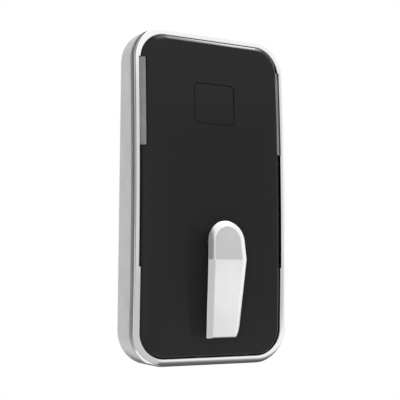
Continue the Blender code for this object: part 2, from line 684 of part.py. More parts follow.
def fingerprint_sensor(carrier):
    front = GROOVE_DEPTH + PANEL_RISE
    half_height = WINDOW_HEIGHT / 2
    window = rounded_block(
        WINDOW_WIDTH / 2,
        (front - PANEL_SKIN, front),
        (WINDOW_Z - half_height, WINDOW_Z + half_height),
        WINDOW_CORNER,
    )
    add_part("sensor_window", crown(window), WINDOW_BLACK, carrier)
    module_front = front - PANEL_SKIN - GAP
    module_half = half_height + MODULE_MARGIN
    module = rounded_block(
        WINDOW_WIDTH / 2 + MODULE_MARGIN,
        (module_front - MODULE_THICK, module_front),
        (WINDOW_Z - module_half, WINDOW_Z + module_half),
        WINDOW_CORNER,
    )
    add_part("sensor_module", crown(module), DARK_PLASTIC, carrier)
    socket_width, socket_height, socket_thick = RIBBON_SOCKET
    top_z = MODULE_LOW_Z + RIBBON_LAP
    module_back = groove_depth(top_z) + PANEL_RISE - PANEL_SKIN - GAP - MODULE_THICK
    top = module_back - GAP - RIBBON_THICK / 2
    socket_z = RIBBON_SOCKET_Z + socket_height / 2 + GAP
    low = BOARD_FRONT + GAP + socket_thick / 2
    bend = (MODULE_LOW_Z - socket_z) / 3
    route = [(top, top_z), (top, MODULE_LOW_Z - bend), (low, socket_z + bend), (low, socket_z)]
    half = RIBBON_THICK / 2
    outline = [(d + half, z) for d, z in route] + [(d - half, z) for d, z in reversed(route)]
    ribbon = prism([Vector((-RIBBON_WIDTH / 2, -d, z)) for d, z in outline], RIGHT * RIBBON_WIDTH)
    add_part("sensor_ribbon", ribbon, RIBBON_AMBER, carrier)
    seat = BOARD_FRONT + GAP
    socket = block(
        (-socket_width / 2, socket_width / 2),
        (seat, seat + socket_thick),
        (RIBBON_SOCKET_Z - socket_height / 2, RIBBON_SOCKET_Z + socket_height / 2),
    )
    add_part("ribbon_socket", socket, WHITE_PLASTIC, carrier)


def main_board(carrier):
    board = rounded_block(BOARD_HALF, (BOARD_DEPTH, BOARD_FRONT), (BOARD_LOW_Z, BOARD_HIGH_Z), BOARD_CORNER)
    part = add_part("main_board", board, BOARD_GREEN, carrier)
    hole = BOARD_SCREW[0] + SCREW_PLAY
    span = (BOARD_DEPTH - OVERLAP, BOARD_FRONT + OVERLAP)
    holes = [rod(hole, x, z, span, SMALL_STEPS) for _, x, z in BOARD_SCREW_PLACES]
    boolean(part, joined(holes), "DIFFERENCE")
    tip = HOUSING_FLOOR + GAP
    for place, x, z in BOARD_SCREW_PLACES:
        screw = screw_mesh(BOARD_SCREW, x, z, tip, BOARD_FRONT + GAP)
        add_part(f"board_screw_{place}", screw, STEEL, carrier)


def board_pieces(carrier):
    seat = BOARD_FRONT + GAP
    boxes = (
        ("mcu_chip", MCU_BOX, CHIP_BLACK),
        ("memory_chip", MEMORY_BOX, CHIP_BLACK),
        ("cell_socket", CELL_SOCKET_BOX, WHITE_PLASTIC),
        ("motor_socket", MOTOR_SOCKET_BOX, WHITE_PLASTIC),
    )
    for name, (x, rise, width, height, thick), look in boxes:
        z = BOARD_LOW_Z + rise
        box = block((x - width / 2, x + width / 2), (seat, seat + thick), (z - height / 2, z + height / 2))
        add_part(name, box, look, carrier)
    buzzer_x, buzzer_rise = BUZZER_PLACE
    buzzer = rod(BUZZER_RADIUS, buzzer_x, BOARD_LOW_Z + buzzer_rise, (seat, seat + BUZZER_THICK))
    add_part("buzzer", buzzer, CHIP_BLACK, carrier)
    for side, sign in SIDES:
        for row, share in (("upper", 3 / 4), ("lower", 1 / 4)):
            z = BAR_LOW_Z + BAR_LENGTH * share
            edges = sorted((sign * (LED_OUTER - LED_WIDTH), sign * LED_OUTER))
            led = block(edges, (seat, seat + LED_THICK), (z - LED_LENGTH / 2, z + LED_LENGTH / 2))
            add_part(f"status_led_{row}_{side}", led, WHITE_PLASTIC, carrier)


# Power

def battery_cells(carrier):
    body = CELL_LENGTH - CELL_NUB_LENGTH
    profile = [
        (0, 0), (CELL_RADIUS, 0), (CELL_RADIUS, body), (CELL_NUB_RADIUS, body),
        (CELL_NUB_RADIUS, CELL_LENGTH), (0, CELL_LENGTH),
    ]
    for row, z, sign in (("upper", CELL_HIGH_Z, 1), ("lower", CELL_LOW_Z, -1)):
        start = Vector((-sign * CELL_LENGTH / 2, -CELL_DEPTH, z))
        add_part(f"battery_cell_{row}", turned(profile, start, RIGHT * sign), CELL_WRAP, carrier)
    low = HOUSING_FLOOR + GAP
    inner = CELL_HATCH_HALF + GAP
    outline = [
        (inner, low), (inner + CONTACT_FOOT, low), (inner + CONTACT_FOOT, low + CONTACT_THICK),
        (inner + CONTACT_THICK, low + CONTACT_THICK), (inner + CONTACT_THICK, low + CONTACT_RISE),
        (inner, low + CONTACT_RISE),
    ]
    for side, sign in SIDES:
        points = [Vector((sign * x, -d, CELL_HATCH_LOW)) for x, d in outline]
        contact = prism(points, Vector((0, 0, CELL_HATCH_TOP - CELL_HATCH_LOW)))
        add_part(f"cell_contact_{side}", contact, STEEL, carrier)


def battery_door(carrier):
    door = rounded_block(
        CELL_HATCH_HALF + DOOR_LEDGE,
        (DOOR_RECESS, DOOR_RECESS + DOOR_THICK),
        (CELL_HATCH_LOW - DOOR_LEDGE - DOOR_TAIL, CELL_HATCH_TOP + DOOR_LEDGE),
        DOOR_CORNER,
    )
    part = add_part("battery_door", door, DARK_PLASTIC, carrier)
    shank, head, height = DOOR_SCREW
    seat = DOOR_RECESS + height + SCREW_PLAY / 2
    profile = [
        (0, -OVERLAP), (head + SCREW_PLAY, -OVERLAP), (head + SCREW_PLAY, seat),
        (shank + SCREW_PLAY, seat), (shank + SCREW_PLAY, HOUSING_FLOOR), (0, HOUSING_FLOOR),
    ]
    boolean(part, turned(profile, Vector((0, 0, DOOR_SCREW_Z)), FORWARD, SMALL_STEPS), "DIFFERENCE")
    tip = HOUSING_FLOOR + DOOR_BOSS_RISE - 2 * GAP
    screw = screw_mesh(DOOR_SCREW, 0, DOOR_SCREW_Z, tip, DOOR_RECESS + height)
    add_part("battery_door_screw", screw, STEEL, carrier)


# Lever and lock

def lever_front(z):
    """Depth of the lever's front, highest at the crease, falling to the top of the head and to the tip."""
    ridge = LEVER_BACK + LEVER_RIDGE_THICK
    if z >= CREASE_Z:
        fall = (LEVER_RIDGE_THICK - LEVER_TOP_THICK) / (HEAD_CENTRE_Z + LEVER_HEAD_RADIUS - CREASE_Z)
        return ridge - fall * (z - CREASE_Z)
    fall = (LEVER_RIDGE_THICK - LEVER_TIP_THICK) / (CREASE_Z - TIP_Z)
    return ridge - fall * (CREASE_Z - z)


def lever_outline(inset, tip_half, corner_width, corner_height):
    """Dome drawn in by an inset, crease corners and rounded tip corners of the lever as X and Z."""
    radius = LEVER_HEAD_RADIUS - inset
    arc = [math.pi * i / HEAD_STEPS for i in range(HEAD_STEPS + 1)]
    points = [(radius * math.cos(a), HEAD_CENTRE_Z + radius * math.sin(a)) for a in arc]
    left = [(-CREASE_HALF + inset, CREASE_Z)]
    for i in range(CORNER_STEPS + 1):
        a = math.pi / 2 * i / CORNER_STEPS
        x = -tip_half + corner_width * (1 - math.cos(a))
        left.append((x, TIP_Z + corner_height * (1 - math.sin(a))))
    return points + left + [(-x, z) for x, z in reversed(left)]


def turn_lever(carrier):
    """A folded bar with bevelled edges, undercut at the sides and flat at the back."""
    small = TIP_SMALL_CORNER
    behind = lever_outline(LEVER_UNDERCUT, TIP_BACK_HALF, small, small)
    edge = lever_outline(0, TIP_HALF, TIP_CORNER_WIDTH, TIP_CORNER_HEIGHT)
    ahead = lever_outline(LEVER_BEVEL_WIDTH, TIP_FACE_HALF, small, small)
    back = [Vector((x, -LEVER_BACK, z)) for x, z in behind]
    rim = [Vector((x, -lever_front(z) + LEVER_BEVEL_DROP, z)) for x, z in edge]
    face = [Vector((x, -lever_front(z), z)) for x, z in ahead]
    bm, rings = loft([back, rim, face])
    bmesh.ops.triangulate(bm, faces=[f for f in bm.faces if len(f.verts) == 4])
    crease = [v for v in rings[-1] if abs(v.co.z - CREASE_Z) < TINY]
    front = next(f for f in crease[0].link_faces if crease[1] in f.verts)
    bmesh.utils.face_split(front, crease[0], crease[1])
    part = add_part("turn_lever", bm, SATIN_METAL, carrier)
    socket = rod(SPINDLE_BORE, 0, PIVOT_Z, (LEVER_BACK - OVERLAP, LEVER_BACK + SPINDLE_SEAT + GAP))
    boolean(part, socket, "DIFFERENCE")


def lever_bush(carrier):
    nose = LEVER_BACK - GAP
    profile = [
        (SPINDLE_BORE, BUSH_FLANGE_BACK), (BUSH_FLANGE_RADIUS, BUSH_FLANGE_BACK),
        (BUSH_FLANGE_RADIUS, BUSH_FLANGE_FRONT), (BUSH_RADIUS, BUSH_FLANGE_FRONT),
        (BUSH_RADIUS, nose), (SPINDLE_BORE, nose),
    ]
    add_part("lever_bush", turned(profile, Vector((0, 0, PIVOT_Z)), FORWARD), DARK_PLASTIC, carrier)


def spindle(carrier):
    bar = rod(SPINDLE_RADIUS, 0, PIVOT_Z, (SPINDLE_RECESS, LEVER_BACK + SPINDLE_SEAT))
    part = add_part("spindle", bar, STEEL, carrier)
    half = TAIL_SQUARE / 2
    socket = block((-half, half), (-OVERLAP, SPINDLE_RECESS + TAIL_DEPTH), (PIVOT_Z - half, PIVOT_Z + half))
    boolean(part, socket, "DIFFERENCE")


def lock_disc(carrier):
    profile = [
        (SPINDLE_BORE, DISC_BACK), (DISC_RADIUS, DISC_BACK), (DISC_RADIUS, DISC_FRONT),
        (HUB_RADIUS, DISC_FRONT), (HUB_RADIUS, HUB_FRONT), (SPINDLE_BORE, HUB_FRONT),
    ]
    disc = turned(profile, Vector((0, 0, PIVOT_Z)), FORWARD, 2 * ROUND_STEPS)
    part = add_part("lock_disc", disc, STEEL, carrier)
    half = BOLT_NOSE_HALF + NOTCH_PLAY
    reach = (DISC_RADIUS - NOTCH_DEPTH, DISC_RADIUS + OVERLAP)
    depths = (DISC_BACK - OVERLAP, (DISC_FRONT + HUB_FRONT) / 2)
    right_notch = block(reach, depths, (PIVOT_Z - half, PIVOT_Z + half))
    top_notch = block((-half, half), depths, (PIVOT_Z + reach[0], PIVOT_Z + reach[1]))
    grub_depth = (DISC_FRONT + HUB_FRONT) / 2
    grub_start = Vector((0, -grub_depth, PIVOT_Z))
    bore = GRUB_RADIUS + GAP
    hole_end = HUB_RADIUS + OVERLAP
    grub_hole = turned(
        [(0, SPINDLE_RADIUS), (bore, SPINDLE_RADIUS), (bore, hole_end), (0, hole_end)],
        grub_start, -RIGHT, SMALL_STEPS,
    )
    boolean(part, joined([right_notch, top_notch, grub_hole]), "DIFFERENCE")
    grub = turned(
        [(0, SPINDLE_BORE), (GRUB_RADIUS, SPINDLE_BORE), (GRUB_RADIUS, HUB_RADIUS), (0, HUB_RADIUS)],
        grub_start, -RIGHT, SMALL_STEPS,
    )
    add_part("disc_grub_screw", grub, STEEL, carrier)


def lock_bolt(carrier):
    outline = [
        (BOLT_TIP_X, -BOLT_NOSE_HALF), (BOLT_BODY_X, -BOLT_NOSE_HALF), (BOLT_BODY_X, -BOLT_BODY_HALF),
        (BOLT_END_X, -BOLT_BODY_HALF), (BOLT_END_X, BOLT_BODY_HALF), (BOLT_BODY_X, BOLT_BODY_HALF),
        (BOLT_BODY_X, BOLT_NOSE_HALF), (BOLT_TIP_X, BOLT_NOSE_HALF),
    ]
    back = BOLT_DEPTH - BOLT_THICK / 2
    points = [Vector((x, -back, PIVOT_Z + z)) for x, z in outline]
    part = add_part("lock_bolt", prism(points, FORWARD * BOLT_THICK), STEEL, carrier)
    radius = LOCK_SCREW_RADIUS + GAP
    bore = turned(
        [(0, -LOCK_SCREW_BORE), (radius, -LOCK_SCREW_BORE), (radius, OVERLAP), (0, OVERLAP)],
        Vector((BOLT_END_X, -BOLT_DEPTH, PIVOT_Z)), RIGHT, SMALL_STEPS,
    )
    boolean(part, bore, "DIFFERENCE")


def lock_screw(carrier):
    length = MOTOR_X - GAP - (BOLT_END_X - LOCK_SCREW_BORE + GAP)
    profile = [(0, 0), (LOCK_SCREW_RADIUS, 0), (LOCK_SCREW_RADIUS, length), (0, length)]
    start = Vector((BOLT_END_X - LOCK_SCREW_BORE + GAP, -BOLT_DEPTH, PIVOT_Z))
    add_part("lock_screw", turned(profile, start, RIGHT, SMALL_STEPS), STEEL, carrier)


def lock_motor(carrier):
    profile = [(0, 0), (MOTOR_RADIUS, 0), (MOTOR_RADIUS, MOTOR_LENGTH), (0, MOTOR_LENGTH)]
    motor = turned(profile, Vector((MOTOR_X, -BOLT_DEPTH, PIVOT_Z)), RIGHT)
    add_part("lock_motor", motor, STEEL, carrier)
    inner = MOTOR_RADIUS + GAP
    outer = inner + CLIP_THICK
    low = HOUSING_FLOOR + GAP
    step = low + CLIP_THICK
    top = BOLT_DEPTH + inner
    foot = outer + CLIP_FOOT
    half_outline = [(low, foot), (step, foot), (step, outer), (top + CLIP_THICK, outer)]
    inner_outline = [(top, inner), (low, inner)]
    outline = half_outline + [(d, -z) for d, z in reversed(half_outline)]
    outline += [(d, -z) for d, z in reversed(inner_outline)] + inner_outline
    points = [Vector((CLIP_X, -d, PIVOT_Z + z)) for d, z in outline]
    clip = add_part("motor_clip", prism(points, RIGHT * CLIP_WIDTH), STEEL, carrier)
    hole = CLIP_SCREW[0] + SCREW_PLAY
    holes = [rod(hole, x, z, (low - OVERLAP, step + OVERLAP), SMALL_STEPS) for _, x, z in CLIP_SCREW_PLACES]
    boolean(clip, joined(holes), "DIFFERENCE")
    for row, x, z in CLIP_SCREW_PLACES:
        screw = screw_mesh(CLIP_SCREW, x, z, CLIP_SCREW_REACH, step + GAP)
        add_part(f"clip_screw_{row}", screw, STEEL, carrier)


def main():
    clear_scene()
    body = add_empty("terminal_body", Vector())
    lever_axis = add_empty("lever_axis", Vector((0, 0, PIVOT_Z)), body)
    bolt_axis = add_empty("bolt_axis", Vector((BOLT_TIP_X, -BOLT_DEPTH, PIVOT_Z)), body)
    screw_axis = add_empty("lock_screw_axis", Vector((MOTOR_X, -BOLT_DEPTH, PIVOT_Z)), body)
    bpy.context.view_layer.update()
    rear_housing(body)
    bezel_ring(body)
    front_panel(body)
    for side, sign in SIDES:
        light_bar(body, side, sign)
    housing_screws(body)
    mounting_inserts(body)
    fingerprint_sensor(body)
    main_board(body)
    board_pieces(body)
    battery_cells(body)
    battery_door(body)
    lever_bush(body)
    lock_motor(body)
    turn_lever(lever_axis)
    spindle(lever_axis)
    lock_disc(lever_axis)
    lock_bolt(bolt_axis)
    lock_screw(screw_axis)


main()
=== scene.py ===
"""Looks of the fingerprint lock terminal: fine meshes, finishes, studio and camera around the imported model.

Metres, +Z up, the front looks along -Y. A depth d is measured forward from the back face, at Y = -d.
"""
import json
import math

import bmesh
import bpy
from mathutils import Matrix, Vector

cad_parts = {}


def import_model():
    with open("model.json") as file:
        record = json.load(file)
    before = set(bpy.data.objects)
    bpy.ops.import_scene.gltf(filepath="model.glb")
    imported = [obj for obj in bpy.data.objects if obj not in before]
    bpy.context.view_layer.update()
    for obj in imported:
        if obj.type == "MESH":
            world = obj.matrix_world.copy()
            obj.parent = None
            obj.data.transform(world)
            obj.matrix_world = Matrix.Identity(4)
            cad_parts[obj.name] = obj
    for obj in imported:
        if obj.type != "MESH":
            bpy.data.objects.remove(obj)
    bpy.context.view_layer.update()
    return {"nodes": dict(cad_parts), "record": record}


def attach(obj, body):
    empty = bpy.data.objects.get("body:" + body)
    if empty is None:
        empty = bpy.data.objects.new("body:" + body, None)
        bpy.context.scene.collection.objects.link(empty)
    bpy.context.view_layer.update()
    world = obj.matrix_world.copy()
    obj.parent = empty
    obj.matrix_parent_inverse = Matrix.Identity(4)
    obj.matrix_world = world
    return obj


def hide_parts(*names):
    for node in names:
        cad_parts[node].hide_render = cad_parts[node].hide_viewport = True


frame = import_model()

MM = 0.001

# Mesh fineness
ARC_STEPS = 18
ARCH_STEPS = 14
TIP_STEPS = 8
BLADE_STEPS = 12
EDGE_STEPS = 5
ROUND_STEPS = 72
SMALL_ROUND_STEPS = 48
POST_STEPS = 36
SIDE_PITCH = 4 * MM
SHARP_ANGLE = math.radians(28)
MERGE_DISTANCE = 0.0005 * MM
SLIVER = 0.0001 * MM
LEAST_CORNER = 0.3 * MM
PANEL_LEAST_CORNER = 3.0 * MM

# Depths where cutters begin or end, each clear of the faces that they open
CUT_BEHIND = -1 * MM
CUT_REBATE = 0.8 * MM
CUT_DOOR = 2.0 * MM
CUT_FLOOR = 3.4 * MM
CUT_INSIDE = 8 * MM
CUT_PANEL = 20 * MM
CUT_BEFORE = 30 * MM

# A depth past every piece: what lies behind it isn't crowned
FLAT = 1000 * MM

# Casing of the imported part
HALF_WIDTH = 34 * MM
HALF_HEIGHT = 65 * MM
BODY_CORNER = 13.5 * MM
GROOVE_DEPTH = 12.8 * MM
CROWN_RADIUS = 1130 * MM
CROWN_Z = -21.5 * MM
GAP = 0.3 * MM
HOUSING_WALL = 2.2 * MM
HOUSING_FLOOR = 2.6 * MM
BACK_ROUND = 0.8 * MM
BEZEL_WIDTH = 2.9 * MM
BEZEL_RISE = 1.8 * MM
RELIEF_HALF = 31.8 * MM
RELIEF_LOW_Z = -27.5 * MM
RELIEF_HIGH_Z = 52.3 * MM

# Front panel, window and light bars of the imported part
PANEL_HALF = 30.8 * MM
PANEL_HALF_HEIGHT = 61.8 * MM
PANEL_BASE_CORNER = 10.3 * MM
PANEL_RISE = 3.2 * MM
PANEL_FLANK_DROP = 2.0 * MM
PANEL_FLANK_SIDE = 2.1 * MM
PANEL_FLANK_TOP = 1.5 * MM
PANEL_FLANK_LOW = 0.9 * MM
PANEL_CORNER = 9.0 * MM
PANEL_SKIRT = 1.6 * MM
PANEL_SKIN = 2.0 * MM
PANEL_RIM = 4.0 * MM
WINDOW_HALF = 8.6 * MM
WINDOW_LOW_Z = 28.5 * MM
WINDOW_HIGH_Z = 43.9 * MM
WINDOW_CORNER = 1.5 * MM
WINDOW_GROOVE = 0.4 * MM
BAR_INNER = 29.3 * MM
BAR_OUTER = 31.5 * MM
BAR_LOW_Z = 18.2 * MM
BAR_HIGH_Z = 52.0 * MM
BAR_RISE = 2.6 * MM
BAR_EDGE_RISE = 1.1 * MM
BAR_TOP_WIDTH = 0.6 * MM
BAR_BASE = 1.5 * MM

# Lever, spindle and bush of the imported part
PIVOT_Z = -17.5 * MM
LEVER_BACK = 20.893 * MM
LEVER_HEAD_RADIUS = 8.0 * MM
HEAD_CENTRE_Z = -17.9 * MM
LEVER_TOP_THICK = 3.9 * MM
LEVER_RIDGE_THICK = 5.5 * MM
LEVER_TIP_THICK = 2.1 * MM
CREASE_HALF = 8.4 * MM
CREASE_Z = -24.6 * MM
TIP_Z = -54.1 * MM
TIP_HALF = 7.1 * MM
TIP_CORNER_WIDTH = 1.9 * MM
TIP_CORNER_HEIGHT = 5.5 * MM
TIP_FACE_HALF = 5.2 * MM
TIP_BACK_HALF = 6.4 * MM
TIP_SMALL_CORNER = 0.4 * MM
LEVER_BEVEL_WIDTH = 2.2 * MM
LEVER_BEVEL_DROP = 1.1 * MM
LEVER_UNDERCUT = 2.4 * MM
SPINDLE_RADIUS = 2.8 * MM
SPINDLE_BACK = 0.8 * MM
SPINDLE_REACH = 3.2 * MM
TAIL_SQUARE = 3.2 * MM
TAIL_DEPTH = 6.0 * MM
BUSH_RADIUS = 4.2 * MM
BUSH_FLANGE = 7.5 * MM
BUSH_BACK = 12.4 * MM
BUSH_SEAT = 13.69 * MM

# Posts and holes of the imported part
SCREW_X = 24 * MM
SCREW_HIGH_Z = 55.5 * MM
SCREW_LOW_Z = -58 * MM
SCREW_HOLE_RADIUS = 2.2 * MM
SCREW_HOLE_DEPTH = 1.9 * MM
SCREW_POST_BORE = 1.3 * MM
SCREW_POST_RADIUS = 3.2 * MM
SCREW_POST_FRONT = 6.0 * MM
PANEL_POST_RADIUS = 3.0 * MM
PANEL_POST_BACK = 6.3 * MM
PANEL_POST_FRONT = 14.2 * MM
BOARD_POST_X = 24.5 * MM
BOARD_POST_HIGH_Z = 48 * MM
BOARD_POST_BORE = 1.1 * MM
BOARD_POST_RADIUS = 2.4 * MM
BOARD_POST_FRONT = 4.9 * MM
INSERT_HIGH_Z = 30 * MM
INSERT_LOW_Z = -60.4 * MM
INSERT_HOLE_RADIUS = 2.7 * MM
INSERT_POST_RADIUS = 3.9 * MM
INSERT_POST_FRONT = 4.5 * MM
DOOR_POST_BORE = 1.2 * MM
DOOR_POST_RADIUS = 1.9 * MM
DOOR_POST_FRONT = 5.5 * MM
SPINDLE_POST_RADIUS = 6.0 * MM
SPINDLE_POST_FRONT = 5.0 * MM

# Battery door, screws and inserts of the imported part
DOOR_HALF = 23.85 * MM
DOOR_LOW_Z = -54.7 * MM
DOOR_HIGH_Z = -27.0 * MM
DOOR_CORNER = 2.0 * MM
DOOR_BACK = 0.15 * MM
DOOR_THICK = 1.2 * MM
DOOR_SCREW_Z = -52.7 * MM
DOOR_HOLE_HEAD = 1.9 * MM
DOOR_HOLE_BORE = 1.2 * MM
DOOR_HOLE_SEAT = 1.0 * MM
BAY_HALF = 22.65 * MM
BAY_LOW_Z = -50.7 * MM
BAY_HIGH_Z = -28.2 * MM
CASING_SCREW = dict(shank=1.0 * MM, head=1.9 * MM, back=0.2 * MM, seat=1.6 * MM, tip=10 * MM)
DOOR_SCREW = dict(shank=0.9 * MM, head=1.6 * MM, back=DOOR_BACK, seat=DOOR_BACK + 0.7 * MM, tip=4.9 * MM)
INSERT_RADIUS = 2.4 * MM
INSERT_BACK = 0.2 * MM
INSERT_FRONT = 3.5 * MM
THREAD_CREST = 1.65 * MM

# Insets where the flat faces of skinned pieces begin
BACK_FACE_INSET = 12 * MM
FLOOR_FACE_INSET = 9 * MM
POCKET_FACE_INSET = 6 * MM
PANEL_FACE_INSET = 8 * MM
GLASS_FACE_INSET = 4 * MM
LEVER_BACK_INSET = 0.8 * MM
LEVER_FACE_INSET = 0.5 * MM

# Edges and small forms that only the looks carry
SMALL_EDGE = 0.15 * MM
HOUSING_CHAMFER_DROP = 1.0 * MM
HOUSING_CHAMFER_WIDTH = 0.58 * MM
HOUSING_EDGE = 0.25 * MM
HOUSING_FLOOR_ROUND = 0.6 * MM
POST_ROOT = 0.2 * MM
ARCH_INSET = 2.66 * MM
ARCH_WIDTH = 2.3 * MM
ARCH_RISE = 0.75 * MM
ARCH_START = math.radians(14)
BEZEL_LIP = 0.2 * MM
BEZEL_INNER_EDGE = 0.4 * MM
BEZEL_OUTER_EDGE = 0.05 * MM
BEZEL_BACK_EDGE = 0.08 * MM
RELIEF_LOW_HALF = 31.35 * MM
RELIEF_BAR_HALF = 31.55 * MM
RELIEF_FLARE = 1.19
PANEL_EDGE = 0.4 * MM
PANEL_BASE_EDGE = 0.3 * MM
PANEL_TOP_PROUD = 0.35
PANEL_TOP_START = 53 * MM
PANEL_TOP_END = 60 * MM
GLASS_STEP = 0.4 * MM
GLASS_STEP_EDGE = 0.05 * MM
GLASS_EDGE = 0.12 * MM
GLASS_GAP = 0.1 * MM
BAR_OUTER_EDGE = 0.3 * MM
BAR_TOP_EDGE = 0.25 * MM
LEVER_EDGE = 0.22 * MM
LEVER_FACE_ROUND = 0.45 * MM
TIP_LEAN = 0.15 * MM
BUSH_NOSE_EDGE = 0.25 * MM
SPINDLE_EDGE = 0.2 * MM
SCREW_DOME = 0.12 * MM
SCREW_HEAD_EDGE = 0.2 * MM
SCREW_TAPER = 0.6 * MM
SCREW_POINT = 0.2 * MM
DOOR_EDGE = 0.25 * MM
INSERT_MOUTH = 1.95 * MM
INSERT_END = 1.8 * MM
THREAD_TURNS = 5
THREAD_START = 0.3 * MM
THREAD_ROOT = 1.85 * MM
THREAD_RISE = 0.15 * MM
THREAD_FALL = 0.1 * MM

# Cross recess of a screw, as shares of its head's radius and height
RECESS_LENGTH = 0.62
RECESS_WIDTH = 0.17
RECESS_DEPTH = 0.7

# Faces with a second finish, by how far they look up (painted highlight) or back (painted shade)
PAINTED_HIGHLIGHT_NORMAL = 0.4
PAINTED_SHADE_NORMAL = 0.05

# Edges kept crisp along the lever's crease
CREASE_NEAR = 0.01 * MM
CREASE_REACH = 1.3 * MM


def crowned(depth, z):
    """A depth on the front, less the fall of the crown at a height."""
    return depth - (z - CROWN_Z) ** 2 / (2 * CROWN_RADIUS)


# Outlines and profiles

def half_outline(half, low, high, radius, sides):
    """Right side of a rounded rectangle as (x, z), from its lower edge to its upper edge."""
    points = []
    for i in range(ARC_STEPS + 1):
        a = math.pi / 2 * (i / ARC_STEPS - 1)
        points.append((half - radius + radius * math.cos(a), low + radius + radius * math.sin(a)))
    start = low + radius
    rise = high - radius - start
    points += [(half, start + rise * i / sides) for i in range(1, sides)]
    for i in range(ARC_STEPS + 1):
        a = math.pi / 2 * i / ARC_STEPS
        points.append((half - radius + radius * math.cos(a), high - radius + radius * math.sin(a)))
    return points


def round_corner(before, corner, after, cut):
    """Points of an arc that replaces a corner, from a distance before it to a distance after it."""
    corner = Vector(corner)
    a = (Vector(before) - corner).normalized()
    b = (Vector(after) - corner).normalized()
    turn = math.pi - a.angle(b)
    half = (math.pi - turn) / 2
    centre = corner + (a + b).normalized() * (cut / math.cos(half))
    first = corner + a * cut - centre
    last = corner + b * cut - centre
    points = []
    for i in range(EDGE_STEPS + 1):
        s = i / EDGE_STEPS
        weights = math.sin((1 - s) * turn), math.sin(s * turn)
        points.append(tuple(centre + (first * weights[0] + last * weights[1]) / math.sin(turn)))
    return points


def softened(points, cuts, closed=False):
    """A profile whose corners are rounded by the given cuts; a cut of 0 leaves a corner sharp."""
    result = []
    count = len(points)
    for i, (point, cut) in enumerate(zip(points, cuts)):
        at_end = not closed and i in (0, count - 1)
        if at_end or cut == 0:
            result.append(point)
        else:
            result += round_corner(points[i - 1], point, points[(i + 1) % count], cut)
    return result


# Mesh makers

def bridge(bm, rings, closed=False):
    """Faces between neighbouring rings of points; closed joins the last ring to the first."""
    pairs = list(zip(rings, rings[1:]))
    if closed:
        pairs.append((rings[-1], rings[0]))
    for ring, following in pairs:
        count = len(ring)
        for i in range(count):
            j = (i + 1) % count
            bm.faces.new((ring[i], ring[j], following[j], following[i]))


def skin(sections, closed=False, others=None):
    """Skins half sections and the mirror images of these, or of others; an open skin gets end faces."""
    bm = bmesh.new()
    rings = []
    for section, other in zip(sections, others or sections):
        right = [bm.verts.new(p) for p in section]
        left = [bm.verts.new((-p[0], p[1], p[2])) for p in other]
        rings.append(right + left[::-1])
    bridge(bm, rings, closed)
    if not closed:
        for ring in (rings[0], rings[-1]):
            count = len(ring)
            for i in range(count // 2 - 1):
                bm.faces.new((ring[i], ring[i + 1], ring[count - 2 - i], ring[count - 1 - i]))
    bmesh.ops.remove_doubles(bm, verts=bm.verts, dist=MERGE_DISTANCE)
    bmesh.ops.recalc_face_normals(bm, faces=bm.faces)
    return bm


def inset_sections(profile, half, low, high, radius, behind=0.0):
    """Sections of a rounded rectangle from a profile of (inset, depth), crowned in front of a depth."""
    sections = []
    sides = max(2, round((high - low) / SIDE_PITCH))
    for inset, depth in profile:
        corner = max(radius - inset, LEAST_CORNER)
        points = half_outline(half - inset, low + inset, high - inset, corner, sides)
        if depth > behind:
            sections.append([(x, -crowned(depth, z), z) for x, z in points])
        else:
            sections.append([(x, -depth, z) for x, z in points])
    return sections


def plate(half, low, high, radius, back, front, back_cut, front_cut):
    """A flat rounded plate with softened edges."""
    inner = min(half, (high - low) / 2) / 2
    profile = softened(
        [(inner, back), (0, back), (0, front), (inner, front)],
        [0, back_cut, front_cut, 0],
    )
    return skin(inset_sections(profile, half, low, high, radius, FLAT))


def turned(profile, x, z, closed=False, steps=ROUND_STEPS):
    """Spins (radius, depth) points about an axis along the depth."""
    bm = bmesh.new()
    rings = []
    for radius, depth in profile:
        angles = [2 * math.pi * i / steps for i in range(steps)]
        ring = [(x + radius * math.cos(a), -depth, z + radius * math.sin(a)) for a in angles]
        rings.append([bm.verts.new(p) for p in ring])
    bridge(bm, rings, closed)
    bmesh.ops.remove_doubles(bm, verts=bm.verts, dist=MERGE_DISTANCE)
    bmesh.ops.dissolve_degenerate(bm, edges=bm.edges, dist=SLIVER)
    bmesh.ops.recalc_face_normals(bm, faces=bm.faces)
    return bm


def box(x_range, depth_range, z_range):
    bm = bmesh.new()
    bmesh.ops.create_cube(bm, size=1)
    (x0, x1), (d0, d1), (z0, z1) = x_range, depth_range, z_range
    bmesh.ops.scale(bm, vec=Vector((x1 - x0, d1 - d0, z1 - z0)), verts=bm.verts)
    bmesh.ops.translate(bm, vec=Vector(((x0 + x1) / 2, -(d0 + d1) / 2, (z0 + z1) / 2)), verts=bm.verts)
    return bm


def joined(meshes):
    """Several bodies in one mesh."""
    bm = bmesh.new()
    for mesh in meshes:
        data = bpy.data.meshes.new("joined")
        mesh.to_mesh(data)
        mesh.free()
        bm.from_mesh(data)
        bpy.data.meshes.remove(data)
    return bm


def new_object(name, bm):
    mesh = bpy.data.meshes.new(name)
    bm.to_mesh(mesh)
    bm.free()
    obj = bpy.data.objects.new(name, mesh)
    bpy.context.scene.collection.objects.link(obj)
    return obj


def cut(bm, cutters):
    """Cuts several closed bodies out of a mesh."""
    target = new_object("cut_target", bm)
    tool = new_object("cut_tool", joined(cutters))
    modifier = target.modifiers.new("cut", "BOOLEAN")
    modifier.operation = "DIFFERENCE"
    modifier.solver = "EXACT"
    modifier.object = tool
    result = bmesh.new()
    result.from_object(target, bpy.context.evaluated_depsgraph_get())
    for obj in (target, tool):
        data = obj.data
        bpy.data.objects.remove(obj)
        bpy.data.meshes.remove(data)
    return result


